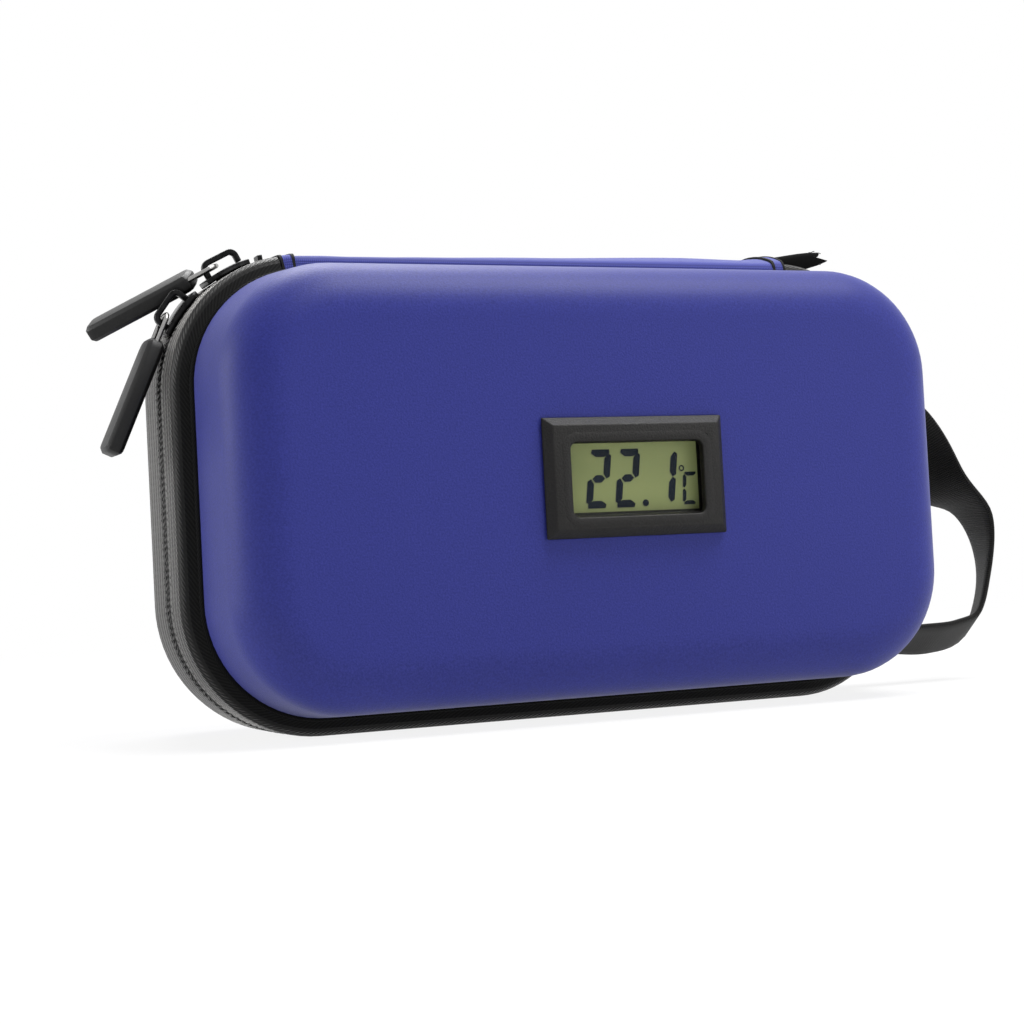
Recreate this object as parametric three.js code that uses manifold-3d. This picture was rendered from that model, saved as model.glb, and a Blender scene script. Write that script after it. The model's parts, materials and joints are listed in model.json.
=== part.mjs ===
// Insulin cooling case: two moulded shells joined by a cloth hinge and a zip, with a
// thermometer set into the front shell and a webbing hand strap on the right side.
// Millimetres. +X runs to the right, +Y to the back and +Z up. The origin lies on the flat
// of the zip band that the case stands on, midway along its length.
import * as THREE from 'three';
import { mergeVertices } from 'three/addons/utils/BufferGeometryUtils.js';
import Module from 'manifold-3d';

const wasm = await Module();
wasm.setup();

// Case and zip band
const caseLength = 200;
const caseHeight = 116;
const caseDepth = 90;
const cornerRadius = 33;
const bandWidth = 28;
const bandProud = 4.6;
const bandEdge = 0.8;
const seamY = -2;
const zipSlit = 1.6;
const tapeThick = 1.2;
const flankLean = 0.6;
const coilWidth = 2.4;
const coilHeight = 2.2;
const weltWidth = 2;
const weltProud = 0.7;
const weltDepth = 3.2;
const clear = 0.3;

// Moulded shells and their foil liners
const shellWall = 4;
const shellDraft = 1.8;
const faceRound = 8;
const linerWall = 1.6;
const linerLap = 1;

// Cloth hinge along the top and the loose end of zip tape beside it
const hingePast = 5;
const hingeSink = 0.5;
const hemWidth = 3.2;
const hemRise = 0.4;
const tailLength = 15;
const tailRise = 5.2;
const tailWidth = 10;
const stopLength = 1.2;
const stopWidth = 3.4;
const stopHeight = 1.6;
const tailStopLength = 5;

// Zip sliders and pulls
const sliderLength = 12;
const sliderWidth = 9.2;
const sliderPlate = 1.4;
const sliderBlade = 1;
const bailLength = 10;
const bailHeight = 4.5;
const bailWidth = 1.6;
const bailWall = 1.4;
const upperPark = 4.5;
const sliderPitch = 15.6;
const wire = 1.2;
const linkWidth = 7.3;
const linkLength = 10;
const pivotAlong = 2;
const gripStart = 5.5;
const gripLength = 29.5;
const gripWidth = 9.5;
const gripThick = 4.2;
const gripCorner = 3;
const gripBevel = 0.8;
const upperYaw = 33;
const lowerDroop = 11.7;

// Hand strap
const strapWidth = 20;
const strapThick = 1.6;
const strapReach = 39.5;
const strapTop = 77;
const strapLow = 9.5;
const strapGap = 0.8;
const strapY = 4.8;
const strapTurn = -120;
const strapTurnBack = -14;
const strapFlop = 24;

// Thermometer module
const moduleX = 3.5;
const bezelWidth = 48;
const bezelHeight = 28.6;
const bezelProud = 2.5;
const bezelChamfer = 2;
const windowWidth = 36;
const windowHeight = 17.5;
const windowBevel = 0.8;
const bodyWidth = 45.6;
const bodyHeight = 26.2;
const bodyWall = 1.4;
const bodyDepth = 15.2;
const lensThick = 1;
const lcdThick = 1.8;
const zebraLength = 36;
const zebraWidth = 2;
const zebraThick = 3;
const boardThick = 1.2;
const chipRadius = 4;
const chipHeight = 1.4;
const cellRadius = 5.8;
const cellThick = 5.4;
const cellPitch = 12.4;
const cellX = -7.3;
const contactWidth = 8;
const contactThick = 0.4;
const coverThick = 1.4;
const railWall = 1.2;
const doorThick = 1.2;
const doorLap = 1.5;
const switchSize = 6;
const switchHeight = 2.8;
const plungerRadius = 1.5;
const plungerHeight = 1;
const buttonX = 13.5;
const buttonRadius = 2.2;
const buttonFlange = 3.2;
const buttonProud = 1.3;
const buttonTravel = 0.8;
const sensorRadius = 1.3;
const sensorLength = 3;
const clipThick = 0.8;
const clipReach = 4.4;
const clipLeg = 6.3;
const clipHeight = 10;

// Inside of the rear half
const packLength = 110;
const packHeight = 70;
const packThick = 9;
const packCorner = 12;
const packBandX = 36;
const packBandWidth = 16;
const elasticThick = 1.2;
const boardGauge = 2.8;
const boardFront = 15.8;
const penRadius = 9;
const penSide = 7.5;
const penCount = 4;
const loopThick = 1;
const loopFoot = 2;
const loopWidth = 18;
const loopX = 42;

// Mesh fineness
const cornerSteps = 5;
const roundSteps = 4;
const strapSteps = 28;
const cutPast = 2;

// Worked-out places
const halfDepth = caseDepth / 2;
const bandHalf = bandWidth / 2;
const midHeight = caseHeight / 2;
const flankReach = bandProud - clear;
const weltStart = bandHalf + flankLean + clear;
const shellRim = weltStart + weltWidth + clear;
const linerOut = shellWall + clear;
const linerIn = linerOut + linerWall;
const linerRim = shellRim - weltWidth - linerLap;
const cornerX = caseLength / 2 - cornerRadius;
const cornerZ = caseHeight - cornerRadius;
const hingeLength = 2 * (cornerX + hingePast);
const stripEndAngle = Math.asin(hingePast / cornerRadius);
const sliderHalfAngle = sliderLength / 2 / cornerRadius;
const upperAngle = stripEndAngle + (upperPark + sliderLength / 2) / cornerRadius;
const lowerAngle = upperAngle + sliderPitch / cornerRadius;

const colours = {
  shell: { color: 0x343a8c, roughness: 0.75, metalness: 0 },
  cloth: { color: 0x3c4496, roughness: 0.85, metalness: 0 },
  tape: { color: 0x2a2a2c, roughness: 0.9, metalness: 0 },
  binding: { color: 0x121214, roughness: 0.8, metalness: 0 },
  coil: { color: 0x18181a, roughness: 0.5, metalness: 0 },
  foil: { color: 0xb9bcc0, roughness: 0.35, metalness: 0.6 },
  gunmetal: { color: 0x2b2b2d, roughness: 0.35, metalness: 0.9 },
  steel: { color: 0xb8b2a4, roughness: 0.3, metalness: 1 },
  grip: { color: 0x262628, roughness: 0.55, metalness: 0 },
  webbing: { color: 0x18181a, roughness: 0.9, metalness: 0 },
  housing: { color: 0x222120, roughness: 0.5, metalness: 0 },
  lens: { color: 0xdfe4dc, roughness: 0.08, metalness: 0 },
  lcd: { color: 0x96a064, roughness: 0.3, metalness: 0 },
  rubber: { color: 0x9a9a98, roughness: 0.7, metalness: 0 },
  board: { color: 0x1f5a35, roughness: 0.5, metalness: 0 },
  epoxy: { color: 0x101010, roughness: 0.3, metalness: 0 },
  brass: { color: 0xc9a24e, roughness: 0.35, metalness: 1 },
  gel: { color: 0x8fc3e6, roughness: 0.3, metalness: 0 },
  elastic: { color: 0x1d1d20, roughness: 0.9, metalness: 0 },
};

const insulinCase = new THREE.Group();

// A closed geometry as a solid that can be cut and joined
function solid(geometry) {
  const bare = geometry.index ? geometry.clone() : geometry;
  bare.deleteAttribute('normal');
  bare.deleteAttribute('uv');
  const merged = mergeVertices(bare, 1e-4);
  const vertProperties = new Float32Array(merged.attributes.position.array);
  const triVerts = new Uint32Array(merged.index.array);
  return new wasm.Manifold(new wasm.Mesh({ numProp: 3, vertProperties, triVerts }));
}

function geometryOf(body) {
  const { vertProperties, triVerts } = body.getMesh();
  const geometry = new THREE.BufferGeometry();
  geometry.setAttribute('position', new THREE.BufferAttribute(vertProperties, 3));
  geometry.setIndex(new THREE.BufferAttribute(triVerts, 1));
  geometry.computeVertexNormals();
  return geometry;
}

// A named sub-part with its own material
function piece(name, body, finish, parent = insulinCase) {
  const mesh = new THREE.Mesh(geometryOf(body), new THREE.MeshStandardMaterial(colours[finish]));
  mesh.name = name;
  parent.add(mesh);
  return mesh;
}

function box(sizeX, sizeY, sizeZ, x, y, z) {
  return solid(new THREE.BoxGeometry(sizeX, sizeY, sizeZ).translate(x, y, z));
}

// A box given by its low and high limits along each axis
function span([x0, x1], [y0, y1], [z0, z1]) {
  return box(x1 - x0, y1 - y0, z1 - z0, (x0 + x1) / 2, (y0 + y1) / 2, (z0 + z1) / 2);
}

// A flat shape in X and Z, drawn out along Y about y = 0
function drawnBack(shape, width, curveSteps = 8) {
  const drawn = new THREE.ExtrudeGeometry(shape, {
    depth: width,
    bevelEnabled: false,
    curveSegments: curveSteps,
  });
  return drawn.rotateX(Math.PI / 2).translate(0, width / 2, 0);
}

// A flat shape whose first axis runs up and whose second runs back, drawn out along X
function drawnAcross(shape, width, curveSteps = 8) {
  return drawnBack(shape, width, curveSteps).rotateZ(-Math.PI / 2).rotateX(-Math.PI / 2);
}

// A round piece turned about the Y axis from (radius, y) points
function turned(profile, sides, x, y, z) {
  const points = profile.map(([radius, along]) => new THREE.Vector2(radius, along));
  return solid(new THREE.LatheGeometry(points, sides).translate(x, y, z));
}

function rounded(width, height, radius) {
  const x = width / 2;
  const z = height / 2;
  const shape = new THREE.Shape();
  shape.moveTo(x, radius - z);
  shape.absarc(x - radius, z - radius, radius, 0, Math.PI / 2, false);
  shape.absarc(radius - x, z - radius, radius, Math.PI / 2, Math.PI, false);
  shape.absarc(radius - x, radius - z, radius, Math.PI, Math.PI * 1.5, false);
  shape.absarc(x - radius, radius - z, radius, Math.PI * 1.5, Math.PI * 2, false);
  return shape;
}

// Outline points of a rounded rectangle, anticlockwise as seen from the front
function outlinePoints(width, height, radius) {
  const points = rounded(width, height, radius).getPoints(cornerSteps);
  const apart = (point, index) => point.distanceTo(points[(index + 1) % points.length]) > 1e-4;
  return points.filter(apart);
}

// A closed solid through outlines with equal counts of points, in rising order of y
function loft(sections) {
  const count = sections[0].points.length;
  const positions = sections.flatMap(({ y, x, z, points }) =>
    points.flatMap((point) => [point.x + x, y, point.y + z]));
  const faces = [];
  for (let ring = 0; ring < sections.length - 1; ring += 1) {
    for (let i = 0; i < count; i += 1) {
      const a = ring * count + i;
      const b = ring * count + ((i + 1) % count);
      faces.push(a, b + count, b, a, a + count, b + count);
    }
  }
  const last = (sections.length - 1) * count;
  for (const [a, b, c] of THREE.ShapeUtils.triangulateShape(sections[0].points, [])) {
    faces.push(a, b, c);
  }
  for (const [a, b, c] of THREE.ShapeUtils.triangulateShape(sections.at(-1).points, [])) {
    faces.push(last + a, last + c, last + b);
  }
  const geometry = new THREE.BufferGeometry();
  geometry.setAttribute('position', new THREE.Float32BufferAttribute(positions, 3));
  geometry.setIndex(faces);
  return solid(geometry);
}

// A solid whose outline is the band's outline, drawn in by an inset at each y
function moulding(stations) {
  const sections = stations.map(([y, inset]) => ({
    y,
    x: 0,
    z: midHeight,
    points: outlinePoints(caseLength - 2 * inset, caseHeight - 2 * inset, cornerRadius - inset),
  }));
  return loft(sections.sort((one, other) => one.y - other.y));
}

// A rectangular block whose size changes along y, from [y, width, height] stations
function tapered(stations, x, z) {
  return loft(stations.map(([y, width, height]) => ({
    y,
    x,
    z,
    points: [[-1, -1], [1, -1], [1, 1], [-1, 1]].map(([sideX, sideZ]) =>
      new THREE.Vector2(sideX * width / 2, sideZ * height / 2)),
  })));
}

// How far a shell's wall has drawn in at a depth from the middle plane
const draftAt = (depth) => shellDraft * (depth - shellRim) / (halfDepth - faceRound - shellRim);

// Shells: a drafted wall, a rounded face and a rim beside the zip band
function traySurface(side, offset, rim) {
  const round = faceRound - offset > 1 ? faceRound - offset : 1;
  const wallInset = bandProud + offset;
  const stations = [[side * rim, wallInset + draftAt(rim)]];
  for (let step = 0; step <= roundSteps; step += 1) {
    const turn = (step / roundSteps) * (Math.PI / 2);
    const depth = halfDepth - offset - round * (1 - Math.sin(turn));
    stations.push([side * depth, wallInset + shellDraft + round * (1 - Math.cos(turn))]);
  }
  return stations;
}

function tray(side, outside, inside, rim) {
  const outer = moulding(traySurface(side, outside, rim));
  return outer.subtract(moulding(traySurface(side, inside, rim - cutPast)));
}

// Zip tape: a flat web from the slit to the band's edge, and a flank down to the welt
function tapeSolid(from, to, sink, side) {
  const edges = [
    [to - bandEdge, sink],
    [to, sink + bandEdge],
    [to + flankLean, sink + flankReach],
  ];
  const inside = edges.map(([depth, inset]) => [depth - tapeThick, inset + tapeThick]);
  const outer = moulding([[from, sink], ...edges].map(([depth, inset]) => [side * depth, inset]));
  const end = [to + flankLean + cutPast, sink + flankReach + tapeThick];
  const hollow = [[from - cutPast, sink + tapeThick], ...inside, end];
  return outer.subtract(moulding(hollow.map(([depth, inset]) => [side * depth, inset])));
}

function hingeSpace(length) {
  const depth = caseDepth;
  const reach = bandProud + weltDepth;
  return span([-length / 2, length / 2], [-depth, depth], [caseHeight - reach, caseHeight + reach]);
}

const hingeGap = hingeSpace(hingeLength + 2 * clear);
const slitEdge = (side) => side * seamY + zipSlit / 2;

function zipTape(side) {
  return tapeSolid(slitEdge(side), bandHalf, 0, side).subtract(hingeGap);
}

function zipCoil(side) {
  const near = slitEdge(side);
  const far = near + coilWidth;
  const top = tapeThick + clear;
  const outer = moulding([[side * near, top], [side * far, top]]);
  const low = top + coilHeight;
  const hollow = moulding([[side * (near - cutPast), low], [side * (far + cutPast), low]]);
  return outer.subtract(hollow).subtract(hingeGap);
}

function welt(side) {
  const top = bandProud - weltProud;
  const low = top + weltDepth;
  const mid = weltStart + weltWidth / 2;
  const far = weltStart + weltWidth;
  const outer = [[weltStart, top + weltProud], [mid, top], [far, top + weltProud]];
  const hollow = [[weltStart - cutPast, low], [far + cutPast, low]];
  const placed = (stations) => moulding(stations.map(([depth, inset]) => [side * depth, inset]));
  return placed(outer).subtract(placed(hollow));
}

// Thermometer cut-out through the front shell and its liner
const faceY = -halfDepth;
const bodyCut = box(bodyWidth + 2 * clear, faceRound * 4, bodyHeight + 2 * clear, moduleX, faceY, midHeight);

for (const [name, side] of [['front', -1], ['rear', 1]]) {
  const shell = tray(side, 0, shellWall, shellRim);
  const liner = tray(side, linerOut, linerIn, linerRim);
  piece(`${name}_shell`, side < 0 ? shell.subtract(bodyCut) : shell, 'shell');
  piece(`${name}_liner`, side < 0 ? liner.subtract(bodyCut) : liner, 'foil');
  piece(`${name}_welt`, welt(side), 'binding');
  piece(`${name}_zip_tape`, zipTape(side), 'tape');
  piece(`${name}_zip_coil`, zipCoil(side), 'coil');
}

// Cloth hinge: one strip over the gap between the shells, with a folded hem at each end
function clothStrip(sink) {
  const edges = [
    [bandHalf - bandEdge, sink],
    [bandHalf, sink + bandEdge],
    [bandHalf + flankLean, sink + flankReach],
  ];
  const both = (list) => [...list.map(([y, inset]) => [-y, inset]), ...list];
  const inside = edges.map(([depth, inset]) => [depth - tapeThick, inset + tapeThick]);
  const end = [bandHalf + flankLean + cutPast, sink + flankReach + tapeThick];
  return moulding(both(edges)).subtract(moulding(both([...inside, end])));
}

const hems = hingeSpace(hingeLength).subtract(hingeSpace(hingeLength - 2 * hemWidth));
const raisedHems = clothStrip(hingeSink - hemRise).intersect(hems);
const strip = clothStrip(hingeSink).intersect(hingeSpace(hingeLength));
piece('hinge_strip', strip.add(raisedHems), 'cloth');

// Height of the band's top at a distance from the middle, on the right-hand corner
const arcTop = (x) => cornerZ + Math.sqrt(cornerRadius ** 2 - (x - cornerX) ** 2);

// Loose end of zip tape standing up beside the hinge, with its metal stop below it
const tailX = hingeLength / 2 + stopLength;
const tailZ = arcTop(tailX) + clear;
const tailBend = tailLength / 5;

function tailShape() {
  const shape = new THREE.Shape();
  shape.moveTo(0, 0);
  shape.lineTo(tailBend, 0);
  shape.lineTo(tailLength, tailRise);
  shape.lineTo(tailLength, tailRise + tapeThick);
  shape.lineTo(tailBend, tapeThick);
  shape.lineTo(0, tapeThick);
  return shape;
}

const tailTilt = Math.atan2(tailRise, tailLength - tailBend);
const tailY = seamY + zipSlit / 2 + tailWidth / 2;
const tail = piece('zip_tape_tail', solid(drawnBack(tailShape(), tailWidth)), 'tape');
tail.position.set(tailX, tailY, tailZ);
const tailStop = box(tailStopLength, stopWidth, stopHeight, 0, 0, -stopHeight / 2 - clear);
const tailStopMesh = piece('zip_stop_right', tailStop, 'steel');
const tailStopX = tailLength - tailStopLength / 2 - stopLength;
tailStopMesh.position.set(tailX + tailStopX, tailY, tailZ + (tailStopX - tailBend) * Math.tan(tailTilt));
tailStopMesh.rotation.y = -tailTilt;

// Zip sliders: an outer plate that follows the corner, a blade through the slit, an inner
// plate behind the rear coil and a bail over the top that holds the pull
function sector(inner, outer, halfAngle, width, y = 0) {
  const shape = new THREE.Shape();
  shape.absarc(0, 0, outer, Math.PI / 2 - halfAngle, Math.PI / 2 + halfAngle, false);
  shape.absarc(0, 0, inner, Math.PI / 2 + halfAngle, Math.PI / 2 - halfAngle, true);
  return solid(drawnBack(shape, width, 3).translate(0, y, 0));
}

const plateLow = cornerRadius + clear;
const plateTop = plateLow + sliderPlate;
const innerTop = cornerRadius - tapeThick - coilHeight - 2 * clear;
const innerLow = innerTop - sliderPlate;
const bailTop = plateTop + bailHeight;

function bailShape() {
  const half = bailLength / 2;
  const shape = new THREE.Shape();
  shape.moveTo(-half, plateLow);
  shape.lineTo(-half, plateTop + bailHeight / 2);
  shape.quadraticCurveTo(-half, bailTop, -half / 2, bailTop);
  shape.lineTo(half / 2, bailTop);
  shape.quadraticCurveTo(half, bailTop, half, plateTop + bailHeight / 2);
  shape.lineTo(half, plateLow);
  shape.lineTo(half - bailWall, plateLow);
  shape.lineTo(half - bailWall, plateTop + bailHeight / 2);
  shape.quadraticCurveTo(half - bailWall, bailTop - bailWall, half / 2, bailTop - bailWall);
  shape.lineTo(-half / 2, bailTop - bailWall);
  shape.quadraticCurveTo(bailWall - half, bailTop - bailWall, bailWall - half, plateTop + bailHeight / 2);
  shape.lineTo(bailWall - half, plateLow);
  return shape;
}

function sliderBody() {
  const outerPlate = sector(plateLow, plateTop, sliderHalfAngle, sliderWidth);
  const blade = sector(innerLow, plateTop, sliderHalfAngle / 2, sliderBlade);
  const innerWidth = (sliderWidth + sliderBlade) / 2;
  const innerY = (innerWidth - sliderBlade) / 2;
  const innerPlate = sector(innerLow, innerTop, sliderHalfAngle, innerWidth, innerY);
  const bail = solid(drawnBack(bailShape(), bailWidth, 4));
  return outerPlate.add(blade).add(innerPlate).add(bail);
}

// Pull: a flat wire link through the bail and a moulded grip closed over its far end.
// It is drawn from the pivot towards -X.
function linkBody(margin) {
  const length = linkLength + 2 * margin;
  const width = linkWidth + 2 * margin;
  const barWidth = wire + 2 * margin;
  const ring = rounded(length, width, wire + margin);
  ring.holes.push(rounded(length - 2 * barWidth, width - 2 * barWidth, wire / 2));
  const drawn = new THREE.ExtrudeGeometry(ring, {
    depth: wire + 2 * margin,
    bevelEnabled: false,
    curveSegments: 3,
  });
  return solid(drawn.translate((wire - linkLength) / 2, 0, -wire / 2 - margin));
}

function gripBody() {
  const outline = rounded(gripLength - 2 * gripBevel, gripWidth - 2 * gripBevel, gripCorner - gripBevel);
  const drawn = new THREE.ExtrudeGeometry(outline, {
    depth: gripThick - 2 * gripBevel,
    bevelThickness: gripBevel,
    bevelSize: gripBevel,
    bevelSegments: 2,
    curveSegments: 4,
  });
  drawn.translate(-gripStart - gripLength / 2, 0, gripBevel - gripThick / 2);
  return solid(drawn).subtract(linkBody(clear));
}

const pivotRise = plateTop + (bailHeight - bailWall) / 2;

for (const [name, angle, yaw, droop] of [
  ['upper', upperAngle, upperYaw, 0],
  ['lower', lowerAngle, 0, lowerDroop],
]) {
  const slider = new THREE.Group();
  slider.position.set(-cornerX, seamY, cornerZ);
  slider.rotation.y = -angle;
  piece(`${name}_slider`, sliderBody(), 'gunmetal', slider);
  const pull = new THREE.Group();
  pull.position.set(-pivotAlong, 0, pivotRise);
  pull.rotation.set(0, THREE.MathUtils.degToRad(-droop), THREE.MathUtils.degToRad(-yaw), 'ZYX');
  piece(`${name}_pull_link`, linkBody(0), 'steel', pull);
  piece(`${name}_pull_grip`, gripBody(), 'grip', pull);
  slider.add(pull);
  insulinCase.add(slider);
}

// Stop between the hinge and the upper slider, on the rear tape
const leftStop = sector(plateLow, plateLow + stopHeight, stopLength / 2 / cornerRadius, stopWidth);
const leftStopMesh = piece('zip_stop_left', leftStop, 'steel');
leftStopMesh.position.set(-cornerX, slitEdge(1) + stopWidth / 2, cornerZ);
leftStopMesh.rotation.y = -(stripEndAngle + (stopLength / 2 + clear) / cornerRadius);

// Hand strap: a flat ribbon that leaves the band broadside, turns edge-on where it is
// farthest out and comes back to the band lower down. Both ends are trimmed to the band,
// to a blunt point that leaves room for the strap to flop forwards and backwards.
const strapRoute = [
  [-0.2, -0.02],
  [0.3, 0.06],
  [0.66, 0.31],
  [0.97, 0.45],
  [1.04, 0.67],
  [0.91, 0.9],
  [0.63, 0.96],
  [0.21, 0.96],
  [-0.32, 0.99],
];
const strapTurned = 0.58;
const strapTurningBack = 0.62;
const eased = (share) => THREE.MathUtils.smoothstep(share, 0, 1);

function strapBody() {
  const drop = strapTop - strapLow;
  const route = new THREE.CatmullRomCurve3(strapRoute.map(([out, down]) =>
    new THREE.Vector3(caseLength / 2 + out * strapReach, strapY, strapTop - down * drop)));
  const across = new THREE.Vector3(0, 1, 0);
  const positions = [];
  for (let step = 0; step <= strapSteps; step += 1) {
    const share = step / strapSteps;
    const centre = route.getPointAt(share);
    const along = route.getTangentAt(share);
    const inPlane = new THREE.Vector3().crossVectors(along, across);
    const back = eased((share - strapTurningBack) / (1 - strapTurningBack));
    const degrees = strapTurn * eased(share / strapTurned) - strapTurnBack * back;
    const turn = THREE.MathUtils.degToRad(degrees);
    const wide = inPlane.clone().multiplyScalar(Math.cos(turn)).addScaledVector(across, Math.sin(turn));
    const thin = new THREE.Vector3().crossVectors(along, wide);
    for (const [sideWide, sideThin] of [[-1, -1], [1, -1], [1, 1], [-1, 1]]) {
      const corner = centre.clone();
      corner.addScaledVector(wide, sideWide * strapWidth / 2);
      corner.addScaledVector(thin, sideThin * strapThick / 2);
      positions.push(corner.x, corner.y, corner.z);
    }
  }
  const faces = [0, 2, 1, 0, 3, 2];
  for (let ring = 0; ring < strapSteps; ring += 1) {
    for (let i = 0; i < 4; i += 1) {
      const a = ring * 4 + i;
      const b = ring * 4 + ((i + 1) % 4);
      faces.push(a, b, b + 4, a, b + 4, a + 4);
    }
  }
  const end = strapSteps * 4;
  faces.push(end, end + 1, end + 2, end, end + 2, end + 3);
  const geometry = new THREE.BufferGeometry();
  geometry.setAttribute('position', new THREE.Float32BufferAttribute(positions, 3));
  geometry.setIndex(faces);
  const slope = Math.tan(THREE.MathUtils.degToRad(strapFlop));
  const band = moulding([-strapWidth, 0, strapWidth].map((y) =>
    [strapY + y, -strapGap - Math.abs(y) * slope]));
  return solid(geometry).subtract(band);
}

piece('hand_strap', strapBody(), 'webbing');

// Thermometer: depths are counted from the shell's face into the lid
const into = (depth) => faceY + depth;

const bezelFront = -clear - bezelProud;
const bezel = tapered([
  [into(bezelFront), bezelWidth - 2 * bezelChamfer, bezelHeight - 2 * bezelChamfer],
  [into(bezelFront + bezelChamfer), bezelWidth, bezelHeight],
  [into(-clear), bezelWidth, bezelHeight],
], moduleX, midHeight);
const windowCut = tapered([
  [into(bezelFront - cutPast), windowWidth + 2 * windowBevel, windowHeight + 2 * windowBevel],
  [into(bezelFront), windowWidth + 2 * windowBevel, windowHeight + 2 * windowBevel],
  [into(-clear), windowWidth, windowHeight],
  [into(cutPast), windowWidth, windowHeight],
], moduleX, midHeight);
const roomWidth = bodyWidth - 2 * bodyWall;
const roomHeight = bodyHeight - 2 * bodyWall;

// A plate across the module between two depths
function moduleBlock(width, height, from, to, x = 0, z = 0) {
  const middle = (into(from) + into(to)) / 2;
  return box(width, to - from, height, moduleX + x, middle, midHeight + z);
}

const tube = moduleBlock(bodyWidth, bodyHeight, -clear - bezelProud / 2, bodyDepth);
const room = moduleBlock(roomWidth, roomHeight, -clear, bodyDepth + cutPast);
piece('display_housing', bezel.add(tube).subtract(windowCut).subtract(room), 'housing');

const plateWidth = roomWidth - 2 * clear;
const plateHeight = roomHeight - 2 * clear;
const lcdFrom = lensThick + clear;
const zebraFrom = lcdFrom + lcdThick + clear;
const boardFrom = zebraFrom + zebraThick + clear;
const boardTo = boardFrom + boardThick;
const partsFrom = boardTo + clear;
const coverFrom = bodyDepth + clear;
const coverTo = coverFrom + coverThick;
const cellTo = coverTo;
const cellFrom = cellTo - cellThick;

piece('display_lens', moduleBlock(plateWidth, plateHeight, 0, lensThick), 'lens');
piece('lcd_panel', moduleBlock(plateWidth, plateHeight, lcdFrom, lcdFrom + lcdThick), 'lcd');
const zebraZ = (plateHeight - zebraWidth) / 2;
for (const [name, z] of [['upper', zebraZ], ['lower', -zebraZ]]) {
  const zebra = moduleBlock(zebraLength, zebraWidth, zebraFrom, zebraFrom + zebraThick, 0, z);
  piece(`zebra_strip_${name}`, zebra, 'rubber');
}
piece('circuit_board', moduleBlock(plateWidth, plateHeight, boardFrom, boardTo), 'board');

// Drop of epoxy over the chip, right of the cells and below the switch
const chipProfile = [[0, 0], [chipRadius, 0], [chipRadius * 0.85, chipHeight * 0.6], [0, chipHeight]];
const sideX = buttonX;
const chipZ = -plateHeight / 2 + chipRadius + clear;
const chip = turned(chipProfile, 20, moduleX + sideX - chipRadius / 2, into(partsFrom), midHeight + chipZ);
piece('chip_blob', chip, 'epoxy');

// Bead of the temperature sensor, lying on the board's right-hand edge
const sensorX = plateWidth / 2 - sensorRadius - clear;
const sensor = new THREE.CapsuleGeometry(sensorRadius, sensorLength, 4, 12).rotateX(Math.PI / 2);
const sensorY = into(partsFrom + sensorRadius);
piece('thermistor', solid(sensor.translate(moduleX + sensorX, sensorY, midHeight + chipZ)), 'epoxy');

// Two button cells side by side, each on its own sprung contact
const cellProfile = [
  [0, 0],
  [cellRadius * 0.8, 0],
  [cellRadius * 0.86, cellThick * 0.2],
  [cellRadius, cellThick * 0.2],
  [cellRadius, cellThick],
  [0, cellThick],
];

function contactShape() {
  const half = contactWidth / 2;
  const reach = cellFrom - clear - partsFrom;
  const shape = new THREE.Shape();
  shape.moveTo(-half, 0);
  shape.lineTo(half, 0);
  shape.lineTo(half, contactThick);
  shape.lineTo(-half + 3 * contactThick, contactThick);
  shape.lineTo(half * 0.4, reach);
  shape.lineTo(0, reach);
  shape.lineTo(-half, contactThick);
  return shape;
}

for (const [name, shift] of [['left', -1], ['right', 1]]) {
  const x = moduleX + cellX + shift * cellPitch / 2;
  const contact = drawnBack(contactShape(), contactWidth / 2).rotateX(-Math.PI / 2);
  piece(`battery_contact_${name}`, solid(contact.translate(x, into(partsFrom), midHeight)), 'brass');
  piece(`coin_cell_${name}`, turned(cellProfile, 28, x, into(cellFrom), midHeight), 'steel');
}

// Rear cover with the battery opening, the rails of its sliding door and the button's hole
const bayWidth = cellPitch + 2 * (cellRadius + 2 * clear);
const bayHeight = 2 * (cellRadius + 2 * clear);
const doorWidth = bayWidth + 2 * doorLap;
const doorHeight = bayHeight + 2 * doorLap;
const doorFrom = coverTo + clear;
const doorTo = doorFrom + doorThick;
const railTo = doorTo + clear + railWall;
const bay = moduleBlock(bayWidth, bayHeight, coverFrom - cutPast, coverTo + cutPast, cellX);
const buttonHole = new THREE.CylinderGeometry(buttonRadius + clear, buttonRadius + clear, cutPast * 3, 20);
const hole = solid(buttonHole.translate(moduleX + buttonX, into(coverFrom), midHeight));
let cover = moduleBlock(bodyWidth, bodyHeight, coverFrom, coverTo).subtract(bay).subtract(hole);
for (const side of [-1, 1]) {
  const wallZ = side * (doorHeight / 2 + clear + railWall / 2);
  const lipZ = side * (doorHeight / 2 + clear + railWall - doorLap / 2 - railWall / 2);
  const wall = moduleBlock(doorWidth, railWall, coverTo - coverThick / 2, railTo, cellX, wallZ);
  const lip = moduleBlock(doorWidth, doorLap + railWall, doorTo + clear, railTo, cellX, lipZ);
  cover = cover.add(wall).add(lip);
}
const doorStopX = cellX + doorWidth / 2 + clear + railWall / 2;
cover = cover.add(moduleBlock(railWall, doorHeight, coverTo - coverThick / 2, doorTo, doorStopX));
piece('module_rear_cover', cover, 'housing');

let door = moduleBlock(doorWidth, doorHeight, doorFrom, doorTo, cellX);
const ridgeHeight = doorHeight - 2 * (doorLap + railWall);
for (const step of [-1, 0, 1]) {
  const ridgeX = cellX + step * 2 * railWall;
  door = door.add(moduleBlock(railWall, ridgeHeight, doorTo - doorThick / 2, doorTo + doorThick / 2, ridgeX));
}
piece('battery_door', door, 'housing');

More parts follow.
